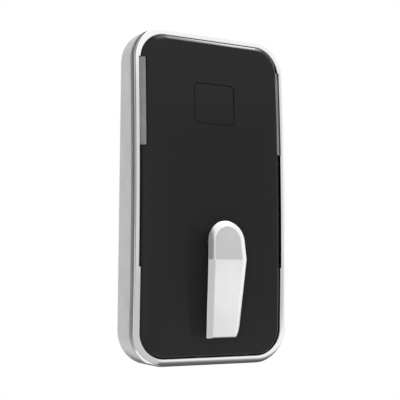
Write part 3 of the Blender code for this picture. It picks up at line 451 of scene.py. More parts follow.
def add_piece(name, bm, body, slot, node):
    """Adds a piece with its slot's finish, which rides on a body and stands for a CAD node."""
    obj = new_object(name, bm)
    obj.data.shade_smooth()
    obj.data.set_sharp_from_angle(angle=SHARP_ANGLE)
    obj.data.materials.append(FINISHES[slot])
    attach(obj, body)
    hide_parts(node)
    return obj


def second_finish(obj, finish, chosen):
    """Gives another finish to the faces that a test chooses."""
    obj.data.materials.append(finish)
    for polygon in obj.data.polygons:
        if chosen(polygon):
            polygon.material_index = 1


# Finishes

# Span of noise that a finish spreads over its range, and where its two colours begin and end
NOISE_LOW = 0.3
NOISE_HIGH = 0.7
RAMP_START = 0.35
RAMP_END = 0.65


class Finish:
    """A node material on a Principled shader, with helpers for surface detail."""

    def __init__(self, name, colour, roughness, metallic=0.0):
        self.material = bpy.data.materials.new(name)
        self.material.use_nodes = True
        self.tree = self.material.node_tree
        self.shader = self.tree.nodes["Principled BSDF"]
        self.shader.inputs["Base Color"].default_value = (*colour, 1)
        self.shader.inputs["Roughness"].default_value = roughness
        self.shader.inputs["Metallic"].default_value = metallic
        self.place = self.tree.nodes.new("ShaderNodeTexCoord").outputs["Object"]

    def set(self, **values):
        for socket, value in values.items():
            self.shader.inputs[socket.replace("_", " ")].default_value = value

    def noise(self, scale, detail, stretch=None):
        node = self.tree.nodes.new("ShaderNodeTexNoise")
        node.inputs["Scale"].default_value = scale
        node.inputs["Detail"].default_value = detail
        place = self.place
        if stretch:
            mapping = self.tree.nodes.new("ShaderNodeMapping")
            mapping.inputs["Scale"].default_value = stretch
            self.tree.links.new(place, mapping.inputs["Vector"])
            place = mapping.outputs["Vector"]
        self.tree.links.new(place, node.inputs["Vector"])
        return node.outputs["Fac"]

    def spread(self, value, low, high):
        """Maps a noise value to a range of another value."""
        node = self.tree.nodes.new("ShaderNodeMapRange")
        ends = {"From Min": NOISE_LOW, "From Max": NOISE_HIGH, "To Min": low, "To Max": high}
        for socket, number in ends.items():
            node.inputs[socket].default_value = number
        self.tree.links.new(value, node.inputs["Value"])
        return node.outputs["Result"]

    def rough(self, value):
        self.tree.links.new(value, self.shader.inputs["Roughness"])

    def colours(self, value, first, second):
        ramp = self.tree.nodes.new("ShaderNodeValToRGB")
        ramp.color_ramp.elements[0].position = RAMP_START
        ramp.color_ramp.elements[0].color = (*first, 1)
        ramp.color_ramp.elements[1].position = RAMP_END
        ramp.color_ramp.elements[1].color = (*second, 1)
        self.tree.links.new(value, ramp.inputs["Fac"])
        self.tree.links.new(ramp.outputs["Color"], self.shader.inputs["Base Color"])

    def bump(self, value, height, strength):
        node = self.tree.nodes.new("ShaderNodeBump")
        node.inputs["Distance"].default_value = height
        node.inputs["Strength"].default_value = strength
        self.tree.links.new(value, node.inputs["Height"])
        self.tree.links.new(node.outputs["Normal"], self.shader.inputs["Normal"])


def silver_paint():
    """Satin silver lacquer with fine metal flake."""
    f = Finish("silver_paint", (0.5, 0.5, 0.505), roughness=0.36, metallic=0.75)
    f.colours(f.noise(scale=2600, detail=1), (0.47, 0.47, 0.475), (0.55, 0.55, 0.555))
    f.rough(f.spread(f.noise(scale=90, detail=4), low=0.31, high=0.4))
    f.bump(f.noise(scale=1500, detail=2), height=0.02 * MM, strength=0.15)
    return f.material


def chrome():
    """Bright plating with faint wipe marks."""
    f = Finish("bezel_chrome", (0.9, 0.9, 0.905), roughness=0.07, metallic=1.0)
    f.rough(f.spread(f.noise(scale=60, detail=5), low=0.05, high=0.11))
    f.colours(f.noise(scale=25, detail=3), (0.89, 0.89, 0.895), (0.92, 0.92, 0.925))
    return f.material


def lever_metal():
    """Satin plated casting."""
    f = Finish("lever_satin", (0.91, 0.91, 0.915), roughness=0.24, metallic=1.0)
    f.rough(f.spread(f.noise(scale=70, detail=5), low=0.21, high=0.28))
    f.colours(f.noise(scale=40, detail=3), (0.9, 0.9, 0.905), (0.93, 0.93, 0.935))
    f.bump(f.noise(scale=900, detail=3), height=0.01 * MM, strength=0.08)
    return f.material


def shaded_lever_back():
    """The lever's back behind its rim, painted darker as shade and duller than its front."""
    f = Finish("lever_back_painted_shade", (0.45, 0.45, 0.455), roughness=0.5, metallic=1.0)
    f.rough(f.spread(f.noise(scale=90, detail=4), low=0.45, high=0.58))
    f.bump(f.noise(scale=700, detail=3), height=0.02 * MM, strength=0.2)
    return f.material


def panel_black():
    """Deep gloss plastic with faint handling haze and hairlines."""
    f = Finish("panel_gloss", (0.0185, 0.0185, 0.019), roughness=0.1)
    f.set(Specular_IOR_Level=0.08)
    f.rough(f.spread(f.noise(scale=45, detail=6), low=0.08, high=0.13))
    f.bump(f.noise(scale=500, detail=2, stretch=(1, 1, 6)), height=0.004 * MM, strength=0.05)
    return f.material


def painted_highlight_edge():
    """The panel's plastic on its top bevel, with a stronger reflection as a painted highlight."""
    f = Finish("panel_edge_painted_highlight", (0.0185, 0.0185, 0.019), roughness=0.08)
    f.set(Specular_IOR_Level=0.19)
    f.rough(f.spread(f.noise(scale=45, detail=6), low=0.06, high=0.1))
    return f.material


def window_black():
    """Coated sensor glass."""
    f = Finish("window_glass", (0.018, 0.018, 0.0185), roughness=0.05)
    f.set(Specular_IOR_Level=0.09)
    f.rough(f.spread(f.noise(scale=120, detail=6), low=0.04, high=0.1))
    return f.material


def light_bar():
    """Frosted smoke-grey diffuser."""
    f = Finish("bar_frosted", (0.175, 0.175, 0.18), roughness=0.48)
    f.colours(f.noise(scale=180, detail=3), (0.16, 0.16, 0.165), (0.19, 0.19, 0.195))
    f.rough(f.spread(f.noise(scale=300, detail=3), low=0.42, high=0.54))
    f.bump(f.noise(scale=1800, detail=2), height=0.02 * MM, strength=0.2)
    return f.material


def moulded(name, colour, second, roughness, grain=0.03):
    """Moulded plastic with a fine spark-eroded texture."""
    f = Finish(name, colour, roughness)
    f.colours(f.noise(scale=150, detail=3), colour, second)
    f.rough(f.spread(f.noise(scale=400, detail=3), low=roughness - 0.06, high=roughness + 0.06))
    f.bump(f.noise(scale=1600, detail=3), height=grain * MM, strength=0.3)
    return f.material


def metal(name, colour, second, roughness):
    """Bare or plated metal with fine tool marks."""
    f = Finish(name, colour, roughness, metallic=1.0)
    f.colours(f.noise(scale=120, detail=4), colour, second)
    f.rough(f.spread(f.noise(scale=700, detail=3), low=roughness - 0.08, high=roughness + 0.08))
    f.bump(f.noise(scale=1200, detail=2), height=0.01 * MM, strength=0.2)
    return f.material


FINISHES = {
    "silver_housing": silver_paint(),
    "chrome_bezel": chrome(),
    "lever_metal": lever_metal(),
    "panel_black": panel_black(),
    "window_black": window_black(),
    "light_bar": light_bar(),
    "dark_plastic": moulded("dark_plastic", (0.02, 0.02, 0.021), (0.028, 0.028, 0.03), roughness=0.48),
    "board": moulded("board_mask", (0.018, 0.11, 0.055), (0.025, 0.14, 0.07), roughness=0.4, grain=0.01),
    "chip": moulded("chip_black", (0.018, 0.018, 0.018), (0.026, 0.026, 0.026), roughness=0.55),
    "white_plastic": moulded("white_plastic", (0.73, 0.72, 0.68), (0.78, 0.77, 0.74), roughness=0.45),
    "ribbon": moulded("ribbon_film", (0.42, 0.2, 0.045), (0.48, 0.24, 0.06), roughness=0.35, grain=0.01),
    "cell_wrap": moulded("cell_wrap", (0.09, 0.13, 0.19), (0.11, 0.15, 0.21), roughness=0.32, grain=0.01),
    "steel": metal("plated_steel", (0.53, 0.53, 0.54), (0.6, 0.6, 0.61), roughness=0.3),
    "brass": metal("turned_brass", (0.58, 0.42, 0.19), (0.66, 0.49, 0.24), roughness=0.3),
}


# Casing

SCREW_PLACES = [
    (f"{row}_{side}", sign * SCREW_X, z)
    for row, z in (("upper", SCREW_HIGH_Z), ("lower", SCREW_LOW_Z))
    for side, sign in (("left", -1), ("right", 1))
]
INSERT_PLACES = [("upper", INSERT_HIGH_Z), ("lower", INSERT_LOW_Z)]
BOARD_POSTS = [(sign * BOARD_POST_X, z) for z in (0, BOARD_POST_HIGH_Z) for sign in (-1, 1)]


def tube(inner, outer, x, z, back, front):
    profile = [(inner, back), (outer, back), (outer, front), (inner, front)]
    return turned(profile, x, z, closed=True, steps=POST_STEPS)


def rod(radius, x, z, back, front):
    return turned([(0, back), (radius, back), (radius, front), (0, front)], x, z, steps=SMALL_ROUND_STEPS)


def housing_openings():
    """Rebate and bay of the battery door, then the holes of screws, inserts and spindle."""
    rebate = plate(
        DOOR_HALF + GAP, DOOR_LOW_Z - GAP, DOOR_HIGH_Z + GAP, DOOR_CORNER + GAP,
        CUT_BEHIND, DOOR_BACK + DOOR_THICK + GAP, SMALL_EDGE, SMALL_EDGE,
    )
    bay = box((-BAY_HALF, BAY_HALF), (CUT_REBATE, CUT_FLOOR), (BAY_LOW_Z, BAY_HIGH_Z))
    holes = [rod(SCREW_HOLE_RADIUS, x, z, CUT_BEHIND, SCREW_HOLE_DEPTH) for _, x, z in SCREW_PLACES]
    holes += [rod(INSERT_HOLE_RADIUS, 0, z, CUT_BEHIND, CUT_FLOOR) for _, z in INSERT_PLACES]
    holes.append(rod(SPINDLE_RADIUS + GAP, 0, PIVOT_Z, CUT_BEHIND, CUT_FLOOR))
    return [rebate], [bay], holes


def housing_posts():
    root = HOUSING_FLOOR - POST_ROOT
    posts = [
        tube(SCREW_POST_BORE, SCREW_POST_RADIUS, x, z, root, SCREW_POST_FRONT) for _, x, z in SCREW_PLACES
    ]
    posts += [tube(BOARD_POST_BORE, BOARD_POST_RADIUS, x, z, root, BOARD_POST_FRONT) for x, z in BOARD_POSTS]
    posts += [
        tube(INSERT_HOLE_RADIUS, INSERT_POST_RADIUS, 0, z, root, INSERT_POST_FRONT) for _, z in INSERT_PLACES
    ]
    posts.append(tube(DOOR_POST_BORE, DOOR_POST_RADIUS, 0, DOOR_SCREW_Z, root, DOOR_POST_FRONT))
    posts.append(tube(SPINDLE_RADIUS + GAP, SPINDLE_POST_RADIUS, 0, PIVOT_Z, root, SPINDLE_POST_FRONT))
    return posts


def housing():
    """Tray with a chamfered front edge."""
    profile = softened(
        [
            (BACK_FACE_INSET, 0), (0, 0),
            (0, GROOVE_DEPTH - HOUSING_CHAMFER_DROP), (HOUSING_CHAMFER_WIDTH, GROOVE_DEPTH),
            (HOUSING_WALL, GROOVE_DEPTH), (HOUSING_WALL, HOUSING_FLOOR), (FLOOR_FACE_INSET, HOUSING_FLOOR),
        ],
        [0, BACK_ROUND, HOUSING_EDGE, HOUSING_EDGE, SMALL_EDGE, HOUSING_FLOOR_ROUND, 0],
    )
    shell = skin(
        inset_sections(profile, HALF_WIDTH, -HALF_HEIGHT, HALF_HEIGHT, BODY_CORNER, GROOVE_DEPTH / 2)
    )
    for cutters in housing_openings():
        shell = cut(shell, cutters)
    tray = joined([shell] + housing_posts())
    add_piece("housing_shell", tray, "terminal_body", "silver_housing", "rear_housing")


def bezel_reliefs():
    """Openings beside the panel: straight on the left, narrower on the right and flared beside the bar."""
    bar_range = (BAR_LOW_Z - GAP, RELIEF_HIGH_Z)
    inside = -RELIEF_HALF / 2
    flare_start = GROOVE_DEPTH + BAR_EDGE_RISE
    left = box((-RELIEF_HALF, 0), (0, CUT_BEFORE), (RELIEF_LOW_Z, RELIEF_HIGH_Z))
    low = box((inside, RELIEF_LOW_HALF), (0, CUT_BEFORE), (RELIEF_LOW_Z, BAR_LOW_Z))
    high = box((inside, RELIEF_BAR_HALF), (0, CUT_BEFORE), bar_range)
    flare = box((inside, RELIEF_BAR_HALF), (flare_start, CUT_BEFORE), bar_range)
    for vert in flare.verts:
        if vert.co.x > 0:
            vert.co.x += RELIEF_FLARE * (-vert.co.y - flare_start)
    return left, low, high, flare


def bezel():
    """Ring with an arched front."""
    front = GROOVE_DEPTH + BEZEL_RISE
    back = GROOVE_DEPTH + GAP
    width = BEZEL_WIDTH + BEZEL_LIP
    arch = []
    for i in range(ARCH_STEPS + 1):
        a = ARCH_START + (math.pi / 2 - ARCH_START) * i / ARCH_STEPS
        arch.append((ARCH_INSET - ARCH_WIDTH * math.cos(a), front - ARCH_RISE * (1 - math.sin(a))))
    profile = softened(
        [(0, back)] + arch + [(width, front), (width, back)],
        [BEZEL_OUTER_EDGE] + [0] * len(arch) + [BEZEL_INNER_EDGE, BEZEL_BACK_EDGE],
        closed=True,
    )
    ring = skin(
        inset_sections(profile, HALF_WIDTH, -HALF_HEIGHT, HALF_HEIGHT, BODY_CORNER), closed=True
    )
    for relief in bezel_reliefs():
        ring = cut(ring, [relief])
    add_piece("bezel_trim", ring, "terminal_body", "chrome_bezel", "bezel_ring")


def flank_share(z):
    """Share of the flank's drop at a height: the flank is shallower along the top."""
    rise = (z - PANEL_TOP_START) / (PANEL_TOP_END - PANEL_TOP_START)
    return 1 - PANEL_TOP_PROUD * min(1, max(0, rise))


def panel_sections():
    """From the pocket at the back, round the rim and up the flanks to the crowned face."""
    front = GROOVE_DEPTH + PANEL_RISE
    skirt = GROOVE_DEPTH - PANEL_SKIRT
    pocket = front - PANEL_SKIN
    rim = PANEL_RIM
    profile = [(rim + POCKET_FACE_INSET, pocket), (rim, pocket), (rim, skirt), (0, skirt)]
    flank = softened(
        [(0, skirt), (0, front - PANEL_FLANK_DROP), (PANEL_FLANK_SIDE, front), (PANEL_FACE_INSET, front)],
        [0, PANEL_BASE_EDGE, PANEL_EDGE, 0],
    )
    profile += flank[1:]
    sections = []
    for inset, depth in profile:
        share = inset / PANEL_FLANK_SIDE
        outline = half_outline(
            PANEL_HALF - inset,
            -PANEL_HALF_HEIGHT + PANEL_FLANK_LOW * share,
            PANEL_HALF_HEIGHT - PANEL_FLANK_TOP * share,
            max(PANEL_BASE_CORNER + (PANEL_CORNER - PANEL_BASE_CORNER) * share, PANEL_LEAST_CORNER),
            round(2 * PANEL_HALF_HEIGHT / SIDE_PITCH),
        )
        if depth >= front - PANEL_FLANK_DROP:
            points = [(x, -crowned(front - (front - depth) * flank_share(z), z), z) for x, z in outline]
        else:
            points = [(x, -crowned(depth, z), z) for x, z in outline]
        sections.append(points)
    return sections


def on_highlighted_top_bevel(polygon):
    """Whether a face of the panel lies on the straight stretch of its top bevel."""
    place = polygon.center
    straight = PANEL_HALF - PANEL_BASE_CORNER
    return polygon.normal.z > PAINTED_HIGHLIGHT_NORMAL and place.z > PANEL_TOP_END and abs(place.x) < straight


def panel():
    groove = WINDOW_GROOVE
    cutters = [
        plate(
            WINDOW_HALF + groove, WINDOW_LOW_Z - groove, WINDOW_HIGH_Z + groove, WINDOW_CORNER + groove,
            CUT_INSIDE, CUT_PANEL, SMALL_EDGE, SMALL_EDGE,
        ),
        rod(BUSH_RADIUS + GAP, 0, PIVOT_Z, CUT_INSIDE, CUT_PANEL),
    ]
    for sign in (-1, 1):
        edges = sorted((sign * (BAR_INNER - GAP), sign * HALF_WIDTH))
        cutters.append(box(edges, (CUT_INSIDE, CUT_PANEL), (BAR_LOW_Z - GAP, BAR_HIGH_Z + GAP)))
    face = cut(skin(panel_sections()), cutters)
    posts = [
        tube(SCREW_POST_BORE, PANEL_POST_RADIUS, x, z, PANEL_POST_BACK, crowned(PANEL_POST_FRONT, z))
        for _, x, z in SCREW_PLACES
    ]
    obj = add_piece("panel_face", joined([face] + posts), "terminal_body", "panel_black", "front_panel")
    # Painted highlight: the up-facing top bevel reflects more strongly than the rest of the panel
    second_finish(obj, painted_highlight_edge(), on_highlighted_top_bevel)


def sensor_glass():
    """Window glass with a step round it."""
    front = GROOVE_DEPTH + PANEL_RISE
    back = front - PANEL_SKIN
    step = front - GLASS_STEP
    lip = WINDOW_GROOVE - GLASS_GAP
    profile = softened(
        [
            (GLASS_FACE_INSET, back), (0, back), (0, step),
            (lip, step), (lip, front), (GLASS_FACE_INSET, front),
        ],
        [0, SMALL_EDGE, GLASS_STEP_EDGE, 0, GLASS_EDGE, 0],
    )
    glass = skin(inset_sections(
        profile, WINDOW_HALF + lip, WINDOW_LOW_Z - lip, WINDOW_HIGH_Z + lip, WINDOW_CORNER + lip
    ))
    add_piece("sensor_glass", glass, "terminal_body", "window_black", "sensor_window")


def light_bars():
    outline = softened(
        [
            (BAR_INNER, -BAR_BASE), (BAR_OUTER, -BAR_BASE), (BAR_OUTER, BAR_EDGE_RISE),
            (BAR_INNER + BAR_TOP_WIDTH, BAR_RISE), (BAR_INNER, BAR_RISE),
        ],
        [SMALL_EDGE, SMALL_EDGE, BAR_OUTER_EDGE, BAR_TOP_EDGE, SMALL_EDGE],
        closed=True,
    )
    count = round((BAR_HIGH_Z - BAR_LOW_Z) / SIDE_PITCH)
    for side, sign in (("left", -1), ("right", 1)):
        bm = bmesh.new()
        rings = []
        for i in range(count + 1):
            z = BAR_LOW_Z + (BAR_HIGH_Z - BAR_LOW_Z) * i / count
            rings.append([
                bm.verts.new((sign * x, -crowned(GROOVE_DEPTH + rise, z), z)) for x, rise in outline
            ])
        bridge(bm, rings)
        bm.faces.new(rings[0])
        bm.faces.new(rings[-1])
        bmesh.ops.recalc_face_normals(bm, faces=bm.faces)
        add_piece(f"light_guide_{side}", bm, "terminal_body", "light_bar", f"light_bar_{side}")


# Lever

def lever_front(z):
    """Depth of the lever's front, highest at the crease, falling to the top of the head and to the tip."""
    ridge = LEVER_BACK + LEVER_RIDGE_THICK
    if z >= CREASE_Z:
        fall = (LEVER_RIDGE_THICK - LEVER_TOP_THICK) / (HEAD_CENTRE_Z + LEVER_HEAD_RADIUS - CREASE_Z)
        return ridge - fall * (z - CREASE_Z)
    fall = (LEVER_RIDGE_THICK - LEVER_TIP_THICK) / (CREASE_Z - TIP_Z)
    return ridge - fall * (CREASE_Z - z)


def lever_half(inset, tip_half, corner_width, corner_height):
    """Right side of the lever as (x, z), from its tip over the crease to the top of the dome."""
    points = []
    for i in range(TIP_STEPS + 1):
        a = math.pi / 2 * (1 - i / TIP_STEPS)
        x = tip_half - corner_width * (1 - math.cos(a))
        points.append((x, TIP_Z + corner_height * (1 - math.sin(a))))
    start = points[-1]
    for i in range(1, BLADE_STEPS + 1):
        s = i / BLADE_STEPS
        x = start[0] + (CREASE_HALF - inset - start[0]) * s
        points.append((x, start[1] + (CREASE_Z - start[1]) * s))
    radius = LEVER_HEAD_RADIUS - inset
    for i in range(2 * ARC_STEPS + 1):
        a = math.pi / 2 * i / (2 * ARC_STEPS)
        points.append((radius * math.cos(a), HEAD_CENTRE_Z + radius * math.sin(a)))
    return points


def lever_sections(corner_width, corner_height):
    """Right side of the lever: undercut from the flat back to the rim, bevel from the rim to the face."""
    small = TIP_SMALL_CORNER
    behind = lever_half(LEVER_UNDERCUT, TIP_BACK_HALF, small, small)
    edge = lever_half(0, TIP_HALF, corner_width, corner_height)
    ahead = lever_half(LEVER_BEVEL_WIDTH, TIP_FACE_HALF, small, small)
    rim_rise = LEVER_RIDGE_THICK - LEVER_BEVEL_DROP
    flat = LEVER_BEVEL_WIDTH + LEVER_FACE_INSET
    profile = softened(
        [
            (LEVER_UNDERCUT + LEVER_BACK_INSET, 0), (LEVER_UNDERCUT, 0), (0, rim_rise),
            (LEVER_BEVEL_WIDTH, LEVER_RIDGE_THICK), (flat, LEVER_RIDGE_THICK),
            (flat + LEVER_FACE_INSET, LEVER_RIDGE_THICK),
        ],
        [0, SMALL_EDGE, LEVER_EDGE, LEVER_FACE_ROUND, 0, 0],
    )
    crest = min(range(len(profile)), key=lambda i: profile[i][0])
    sections = []
    for i, (inset, rise) in enumerate(profile):
        whole = LEVER_UNDERCUT if i <= crest else LEVER_BEVEL_WIDTH
        other = behind if i <= crest else ahead
        lift = TIP_LEAN * min(1, inset / whole) + max(0, inset - whole)
        section = []
        for (x0, z0), (x1, z1) in zip(edge, other):
            x = x0 + (x1 - x0) * inset / whole
            z = z0 + (z1 - z0) * min(1, inset / whole)
            z += lift * max(0, (CREASE_Z - z) / (CREASE_Z - TIP_Z))
            if i <= crest:
                depth = LEVER_BACK + rise * (lever_front(z) - LEVER_BEVEL_DROP - LEVER_BACK) / rim_rise
            else:
                depth = lever_front(z) - LEVER_RIDGE_THICK + rise
            section.append((x, -depth, z))
        sections.append(section)
    return sections


def lever():
    """Folded bar whose rim runs square into the tip on the left and is cut off on the right."""
    right = lever_sections(TIP_CORNER_WIDTH, TIP_CORNER_HEIGHT)
    left = lever_sections(TIP_SMALL_CORNER, TIP_SMALL_CORNER)
    obj = add_piece("lever_handle", skin(right, others=left), "lever_body", "lever_metal", "turn_lever")
    # Painted shade: faces that look back toward the panel get the darker finish
    second_finish(obj, shaded_lever_back(), lambda polygon: polygon.normal.y > PAINTED_SHADE_NORMAL)
    crisp = obj.data.attributes["sharp_edge"].data
    places = obj.data.vertices
    front = lever_front(CREASE_Z) - CREASE_REACH
    for edge in obj.data.edges:
        ends = [places[i].co for i in edge.vertices]
        if all(abs(p.z - CREASE_Z) < CREASE_NEAR and -p.y > front for p in ends):
            crisp[edge.index].value = True


def bush():
    nose = LEVER_BACK - GAP
    inner = SPINDLE_RADIUS + GAP
    profile = softened(
        [
            (inner, BUSH_BACK), (BUSH_FLANGE, BUSH_BACK), (BUSH_FLANGE, BUSH_SEAT),
            (BUSH_RADIUS, BUSH_SEAT), (BUSH_RADIUS, nose), (inner, nose),
        ],
        [SMALL_EDGE, SMALL_EDGE, SMALL_EDGE, 0, BUSH_NOSE_EDGE, SMALL_EDGE],
        closed=True,
    )
    collar = turned(profile, 0, PIVOT_Z, closed=True)
    add_piece("lever_collar", collar, "terminal_body", "dark_plastic", "lever_bush")


def spindle():
    """Round bar with a square socket for the tail at its back."""
    front = LEVER_BACK + SPINDLE_REACH
    profile = softened(
        [(0, SPINDLE_BACK), (SPINDLE_RADIUS, SPINDLE_BACK), (SPINDLE_RADIUS, front), (0, front)],
        [0, SPINDLE_EDGE, SMALL_EDGE, 0],
    )
    bar = turned(profile, 0, PIVOT_Z)
    half = TAIL_SQUARE / 2
    socket = box(
        (-half, half), (CUT_BEHIND, SPINDLE_BACK + TAIL_DEPTH), (PIVOT_Z - half, PIVOT_Z + half)
    )
    add_piece("spindle_bar", cut(bar, [socket]), "lever_body", "steel", "spindle")


# Back

def cross_screw(name, node, x, z, shank, head, back, seat, tip):
    """A screw seen from the back, with a domed head and a cross recess."""
    profile = softened(
        [
            (0, back), (head, back + SCREW_DOME), (head, seat), (shank, seat),
            (shank, tip - SCREW_TAPER), (SCREW_POINT, tip), (0, tip),
        ],
        [0, SCREW_HEAD_EDGE, 0, 0, 0, 0, 0],
    )
    screw = turned(profile, x, z, steps=SMALL_ROUND_STEPS)
    long = head * RECESS_LENGTH
    wide = head * RECESS_WIDTH
    depths = (back + CUT_BEHIND, back + RECESS_DEPTH * (seat - back))
    for across, up in ((long, wide), (wide, long)):
        screw = cut(screw, [box((x - across, x + across), depths, (z - up, z + up))])
    add_piece(name, screw, "terminal_body", "steel", node)


def battery_cover():
    door = plate(
        DOOR_HALF, DOOR_LOW_Z, DOOR_HIGH_Z, DOOR_CORNER, DOOR_BACK, DOOR_BACK + DOOR_THICK,
        DOOR_EDGE, SMALL_EDGE,
    )
    hole = turned(
        [
            (0, CUT_BEHIND), (DOOR_HOLE_HEAD, CUT_BEHIND), (DOOR_HOLE_HEAD, DOOR_HOLE_SEAT),
            (DOOR_HOLE_BORE, DOOR_HOLE_SEAT), (DOOR_HOLE_BORE, CUT_DOOR), (0, CUT_DOOR),
        ],
        0, DOOR_SCREW_Z, steps=SMALL_ROUND_STEPS,
    )
    add_piece("battery_cover", cut(door, [hole]), "terminal_body", "dark_plastic", "battery_door")


def threaded_inserts():
    length = INSERT_FRONT - INSERT_BACK - THREAD_START
    thread = []
    for i in range(THREAD_TURNS):
        d = INSERT_FRONT - length * (i + 0.5) / THREAD_TURNS
        thread += [(THREAD_CREST, d + THREAD_RISE), (THREAD_ROOT, d - THREAD_FALL)]
    profile = [
        (INSERT_MOUTH, INSERT_BACK), (INSERT_RADIUS, INSERT_BACK),
        (INSERT_RADIUS, INSERT_FRONT), (INSERT_END, INSERT_FRONT),
    ]
    for row, z in INSERT_PLACES:
        insert = turned(profile + thread, 0, z, closed=True, steps=SMALL_ROUND_STEPS)
        add_piece(f"threaded_insert_{row}", insert, "terminal_body", "brass", f"mounting_insert_{row}")


def back_fittings():
    for place, x, z in SCREW_PLACES:
        cross_screw(f"casing_screw_{place}", f"housing_screw_{place}", x, z, **CASING_SCREW)
    cross_screw("door_screw", "battery_door_screw", 0, DOOR_SCREW_Z, **DOOR_SCREW)
    battery_cover()
    threaded_inserts()


def finish_hidden_nodes():
    """Gives each CAD node its slot's finish."""
    for entry in frame["record"]["subparts"]:
        obj = frame["nodes"][entry["node"]]
        obj.data.materials.clear()
        obj.data.materials.append(FINISHES[entry["material_slot"]])


# Studio

FLOOR_Z = -0.30
FLOOR_RADIUS = 1.2
FLOOR_SEGMENTS = 96
FLOOR_COLOUR = (0.86, 0.86, 0.86)
FLOOR_ROUGHNESS = 0.8
AMBIENT = 0.45
CARD_DISTANCE = 0.8

# Lamps: name, place, aim, size and power
SOFTBOXES = [
    ("overhead", (0.2, 0.06, 0.62), (0, 0, 0), (0.5, 0.5), 3.2),
    ("rear_top", (0.34, 0.40, 0.58), (0, 0, 0.05), (0.5, 0.5), 5.0),
]
FRONT_FILL = ("front_fill", (-0.45, -0.78, 0.08), (0, 0, 0), (0.4, 0.4), 4.6)

# Cards that the metal mirrors: name, azimuth and width in degrees, then levels at elevations in degrees
CARDS = [
    ("grey_card", 29.75, 11.5, [(-11, 1), (-6, 0.62), (-2, 0.57), (8, 0.46), (14, 0.42), (20, 1)]),
    ("grey_right_card", 46.75, 22.5, [(-11, 1), (-7, 0.6), (-4, 0.6), (0, 0.72), (20, 0.76), (24, 1)]),
    ("grey_left_card", 3.5, 41, [(-60, 0.5), (-24, 0.62), (-4, 0.6), (0, 0.72), (20, 0.76), (24, 1)]),
    (
        "left_card", -97.5, 65,
        [(-50, 0.6), (-25, 0.3), (-6, 0.2), (8, 0.15), (45, 0.15), (66, 0.3), (77, 1)],
    ),
    ("front_left_card", -31, 28, [(-40, 0.62), (-8, 0.58), (6, 0.2), (52, 0.18), (66, 1)]),
    ("upper_corner_card", -155, 60, [(42, 1), (46, 0.15), (70, 0.15), (74, 1)]),
    ("low_card", 64.5, 105, [(-75, 0.12), (-42, 0.12), (-30, 0.35), (-22, 1)]),
    ("low_left_card", -63.5, 93, [(-75, 0.6), (-40, 0.65)]),
    ("rear_card", 140, 72, [(-72, 0.4), (-56, 0.25), (-44, 0.03), (-10, 0.03), (-4, 1)]),
]

# Camera fitted to the photo
CAMERA_PLACE = (-0.17650, -0.32507, -0.02919)
CAMERA_TURN = math.radians(-28.74)
CAMERA_TILT = math.radians(94.44)
CAMERA_ROLL = math.radians(0.41)
CAMERA_LENS = 82.9026
CAMERA_SENSOR = 36
CLIP_START = 0.01


def white_to_the_eye(tree):
    """A value that is 1 for what the camera, metal and glass see, and 0 for the light on the object."""
    path = tree.nodes.new("ShaderNodeLightPath")
    value = path.outputs["Is Camera Ray"]
    for name in ("Is Glossy Ray", "Is Transmission Ray"):
        most = tree.nodes.new("ShaderNodeMath")
        most.operation = "MAXIMUM"
        tree.links.new(value, most.inputs[0])
        tree.links.new(path.outputs[name], most.inputs[1])
        value = most.outputs["Value"]
    return value


def world():
    scene_world = bpy.data.worlds.new("studio")
    bpy.context.scene.world = scene_world
    scene_world.use_nodes = True
    tree = scene_world.node_tree
    background = tree.nodes["Background"]
    background.inputs["Color"].default_value = (1, 1, 1, 1)
    level = tree.nodes.new("ShaderNodeMapRange")
    level.inputs["To Min"].default_value = AMBIENT
    level.inputs["To Max"].default_value = 1.0
    tree.links.new(white_to_the_eye(tree), level.inputs["Value"])
    tree.links.new(level.outputs["Result"], background.inputs["Strength"])


def floor():
    bm = bmesh.new()
    bmesh.ops.create_circle(bm, cap_ends=True, radius=FLOOR_RADIUS, segments=FLOOR_SEGMENTS)
    bmesh.ops.translate(bm, vec=Vector((0, 0, FLOOR_Z)), verts=bm.verts)
    obj = new_object("floor", bm)
    obj.data.materials.append(Finish("floor_pale", FLOOR_COLOUR, FLOOR_ROUGHNESS).material)
    obj.visible_glossy = False


def reflected_only(obj):
    for ray in ("camera", "diffuse", "transmission", "volume_scatter", "shadow"):
        setattr(obj, f"visible_{ray}", False)


def card_glow(name, shares, levels):
    """Emission whose level follows the height on a card, from 0 at its foot to 1 at its top."""
    material = bpy.data.materials.new(name)
    material.use_nodes = True
    tree = material.node_tree
    tree.nodes.clear()
    output = tree.nodes.new("ShaderNodeOutputMaterial")
    glow = tree.nodes.new("ShaderNodeEmission")
    split = tree.nodes.new("ShaderNodeSeparateXYZ")
    coords = tree.nodes.new("ShaderNodeTexCoord")
    shades = tree.nodes.new("ShaderNodeValToRGB")
    elements = shades.color_ramp.elements
    while len(elements) < len(levels):
        elements.new(0.5)
    for element, share, level in zip(elements, shares, levels):
        element.position = share
        element.color = (level, level, level, 1)
    tree.links.new(coords.outputs["Generated"], split.inputs["Vector"])
    tree.links.new(split.outputs["Y"], shades.inputs["Fac"])
    tree.links.new(shades.outputs["Color"], glow.inputs["Color"])
    tree.links.new(glow.outputs["Emission"], output.inputs["Surface"])
    return material


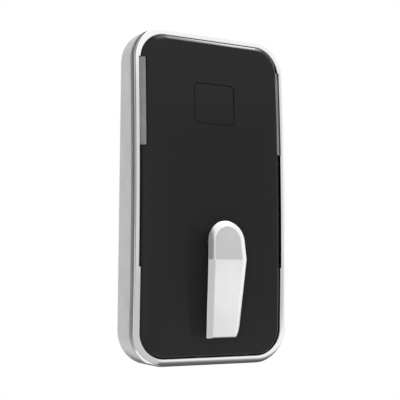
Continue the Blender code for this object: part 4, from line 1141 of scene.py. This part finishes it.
def card(name, azimuth, width, stops):
    """A card that only reflections see; its azimuth is measured from the front to the right."""
    bm = bmesh.new()
    bmesh.ops.create_grid(bm, x_segments=1, y_segments=1, size=0.5)
    obj = new_object(name, bm)
    a = math.radians(azimuth)
    across = 2 * CARD_DISTANCE * math.tan(math.radians(width / 2))
    heights = [CARD_DISTANCE * math.tan(math.radians(elevation)) for elevation, _ in stops]
    low = heights[0]
    rise = heights[-1] - low
    facing = Matrix.Rotation(a, 4, "Z") @ Matrix.Rotation(math.radians(90), 4, "X")
    shape = Matrix.Diagonal((across, rise, 1, 1))
    place = Vector((CARD_DISTANCE * math.sin(a), -CARD_DISTANCE * math.cos(a), low + rise / 2))
    obj.matrix_world = Matrix.Translation(place) @ facing @ shape
    reflected_only(obj)
    shares = [(height - low) / rise for height in heights]
    obj.data.materials.append(card_glow(name, shares, [level for _, level in stops]))


def softbox(name, place, aim, size, power):
    lamp = bpy.data.lights.new(name, "AREA")
    lamp.shape = "RECTANGLE"
    lamp.size, lamp.size_y = size
    lamp.energy = power
    obj = bpy.data.objects.new(name, lamp)
    bpy.context.scene.collection.objects.link(obj)
    obj.location = place
    obj.rotation_euler = (Vector(aim) - Vector(place)).to_track_quat("-Z", "Y").to_euler()
    return obj


def camera():
    data = bpy.data.cameras.new("camera")
    data.sensor_width = CAMERA_SENSOR
    data.lens = CAMERA_LENS
    data.clip_start = CLIP_START
    obj = bpy.data.objects.new("camera", data)
    bpy.context.scene.collection.objects.link(obj)
    turn = Matrix.Rotation(CAMERA_TURN, 4, "Z") @ Matrix.Rotation(CAMERA_TILT, 4, "X")
    roll = Matrix.Rotation(CAMERA_ROLL, 4, "Z")
    obj.matrix_world = Matrix.Translation(CAMERA_PLACE) @ turn @ roll
    bpy.context.scene.camera = obj


def studio():
    bpy.context.scene.view_settings.view_transform = "Standard"
    world()
    floor()
    for lamp in SOFTBOXES:
        softbox(*lamp)
    fill = softbox(*FRONT_FILL)
    fill.visible_glossy = False
    for settings in CARDS:
        card(*settings)
    camera()


finish_hidden_nodes()
housing()
bezel()
panel()
sensor_glass()
light_bars()
lever()
bush()
spindle()
back_fittings()
studio()
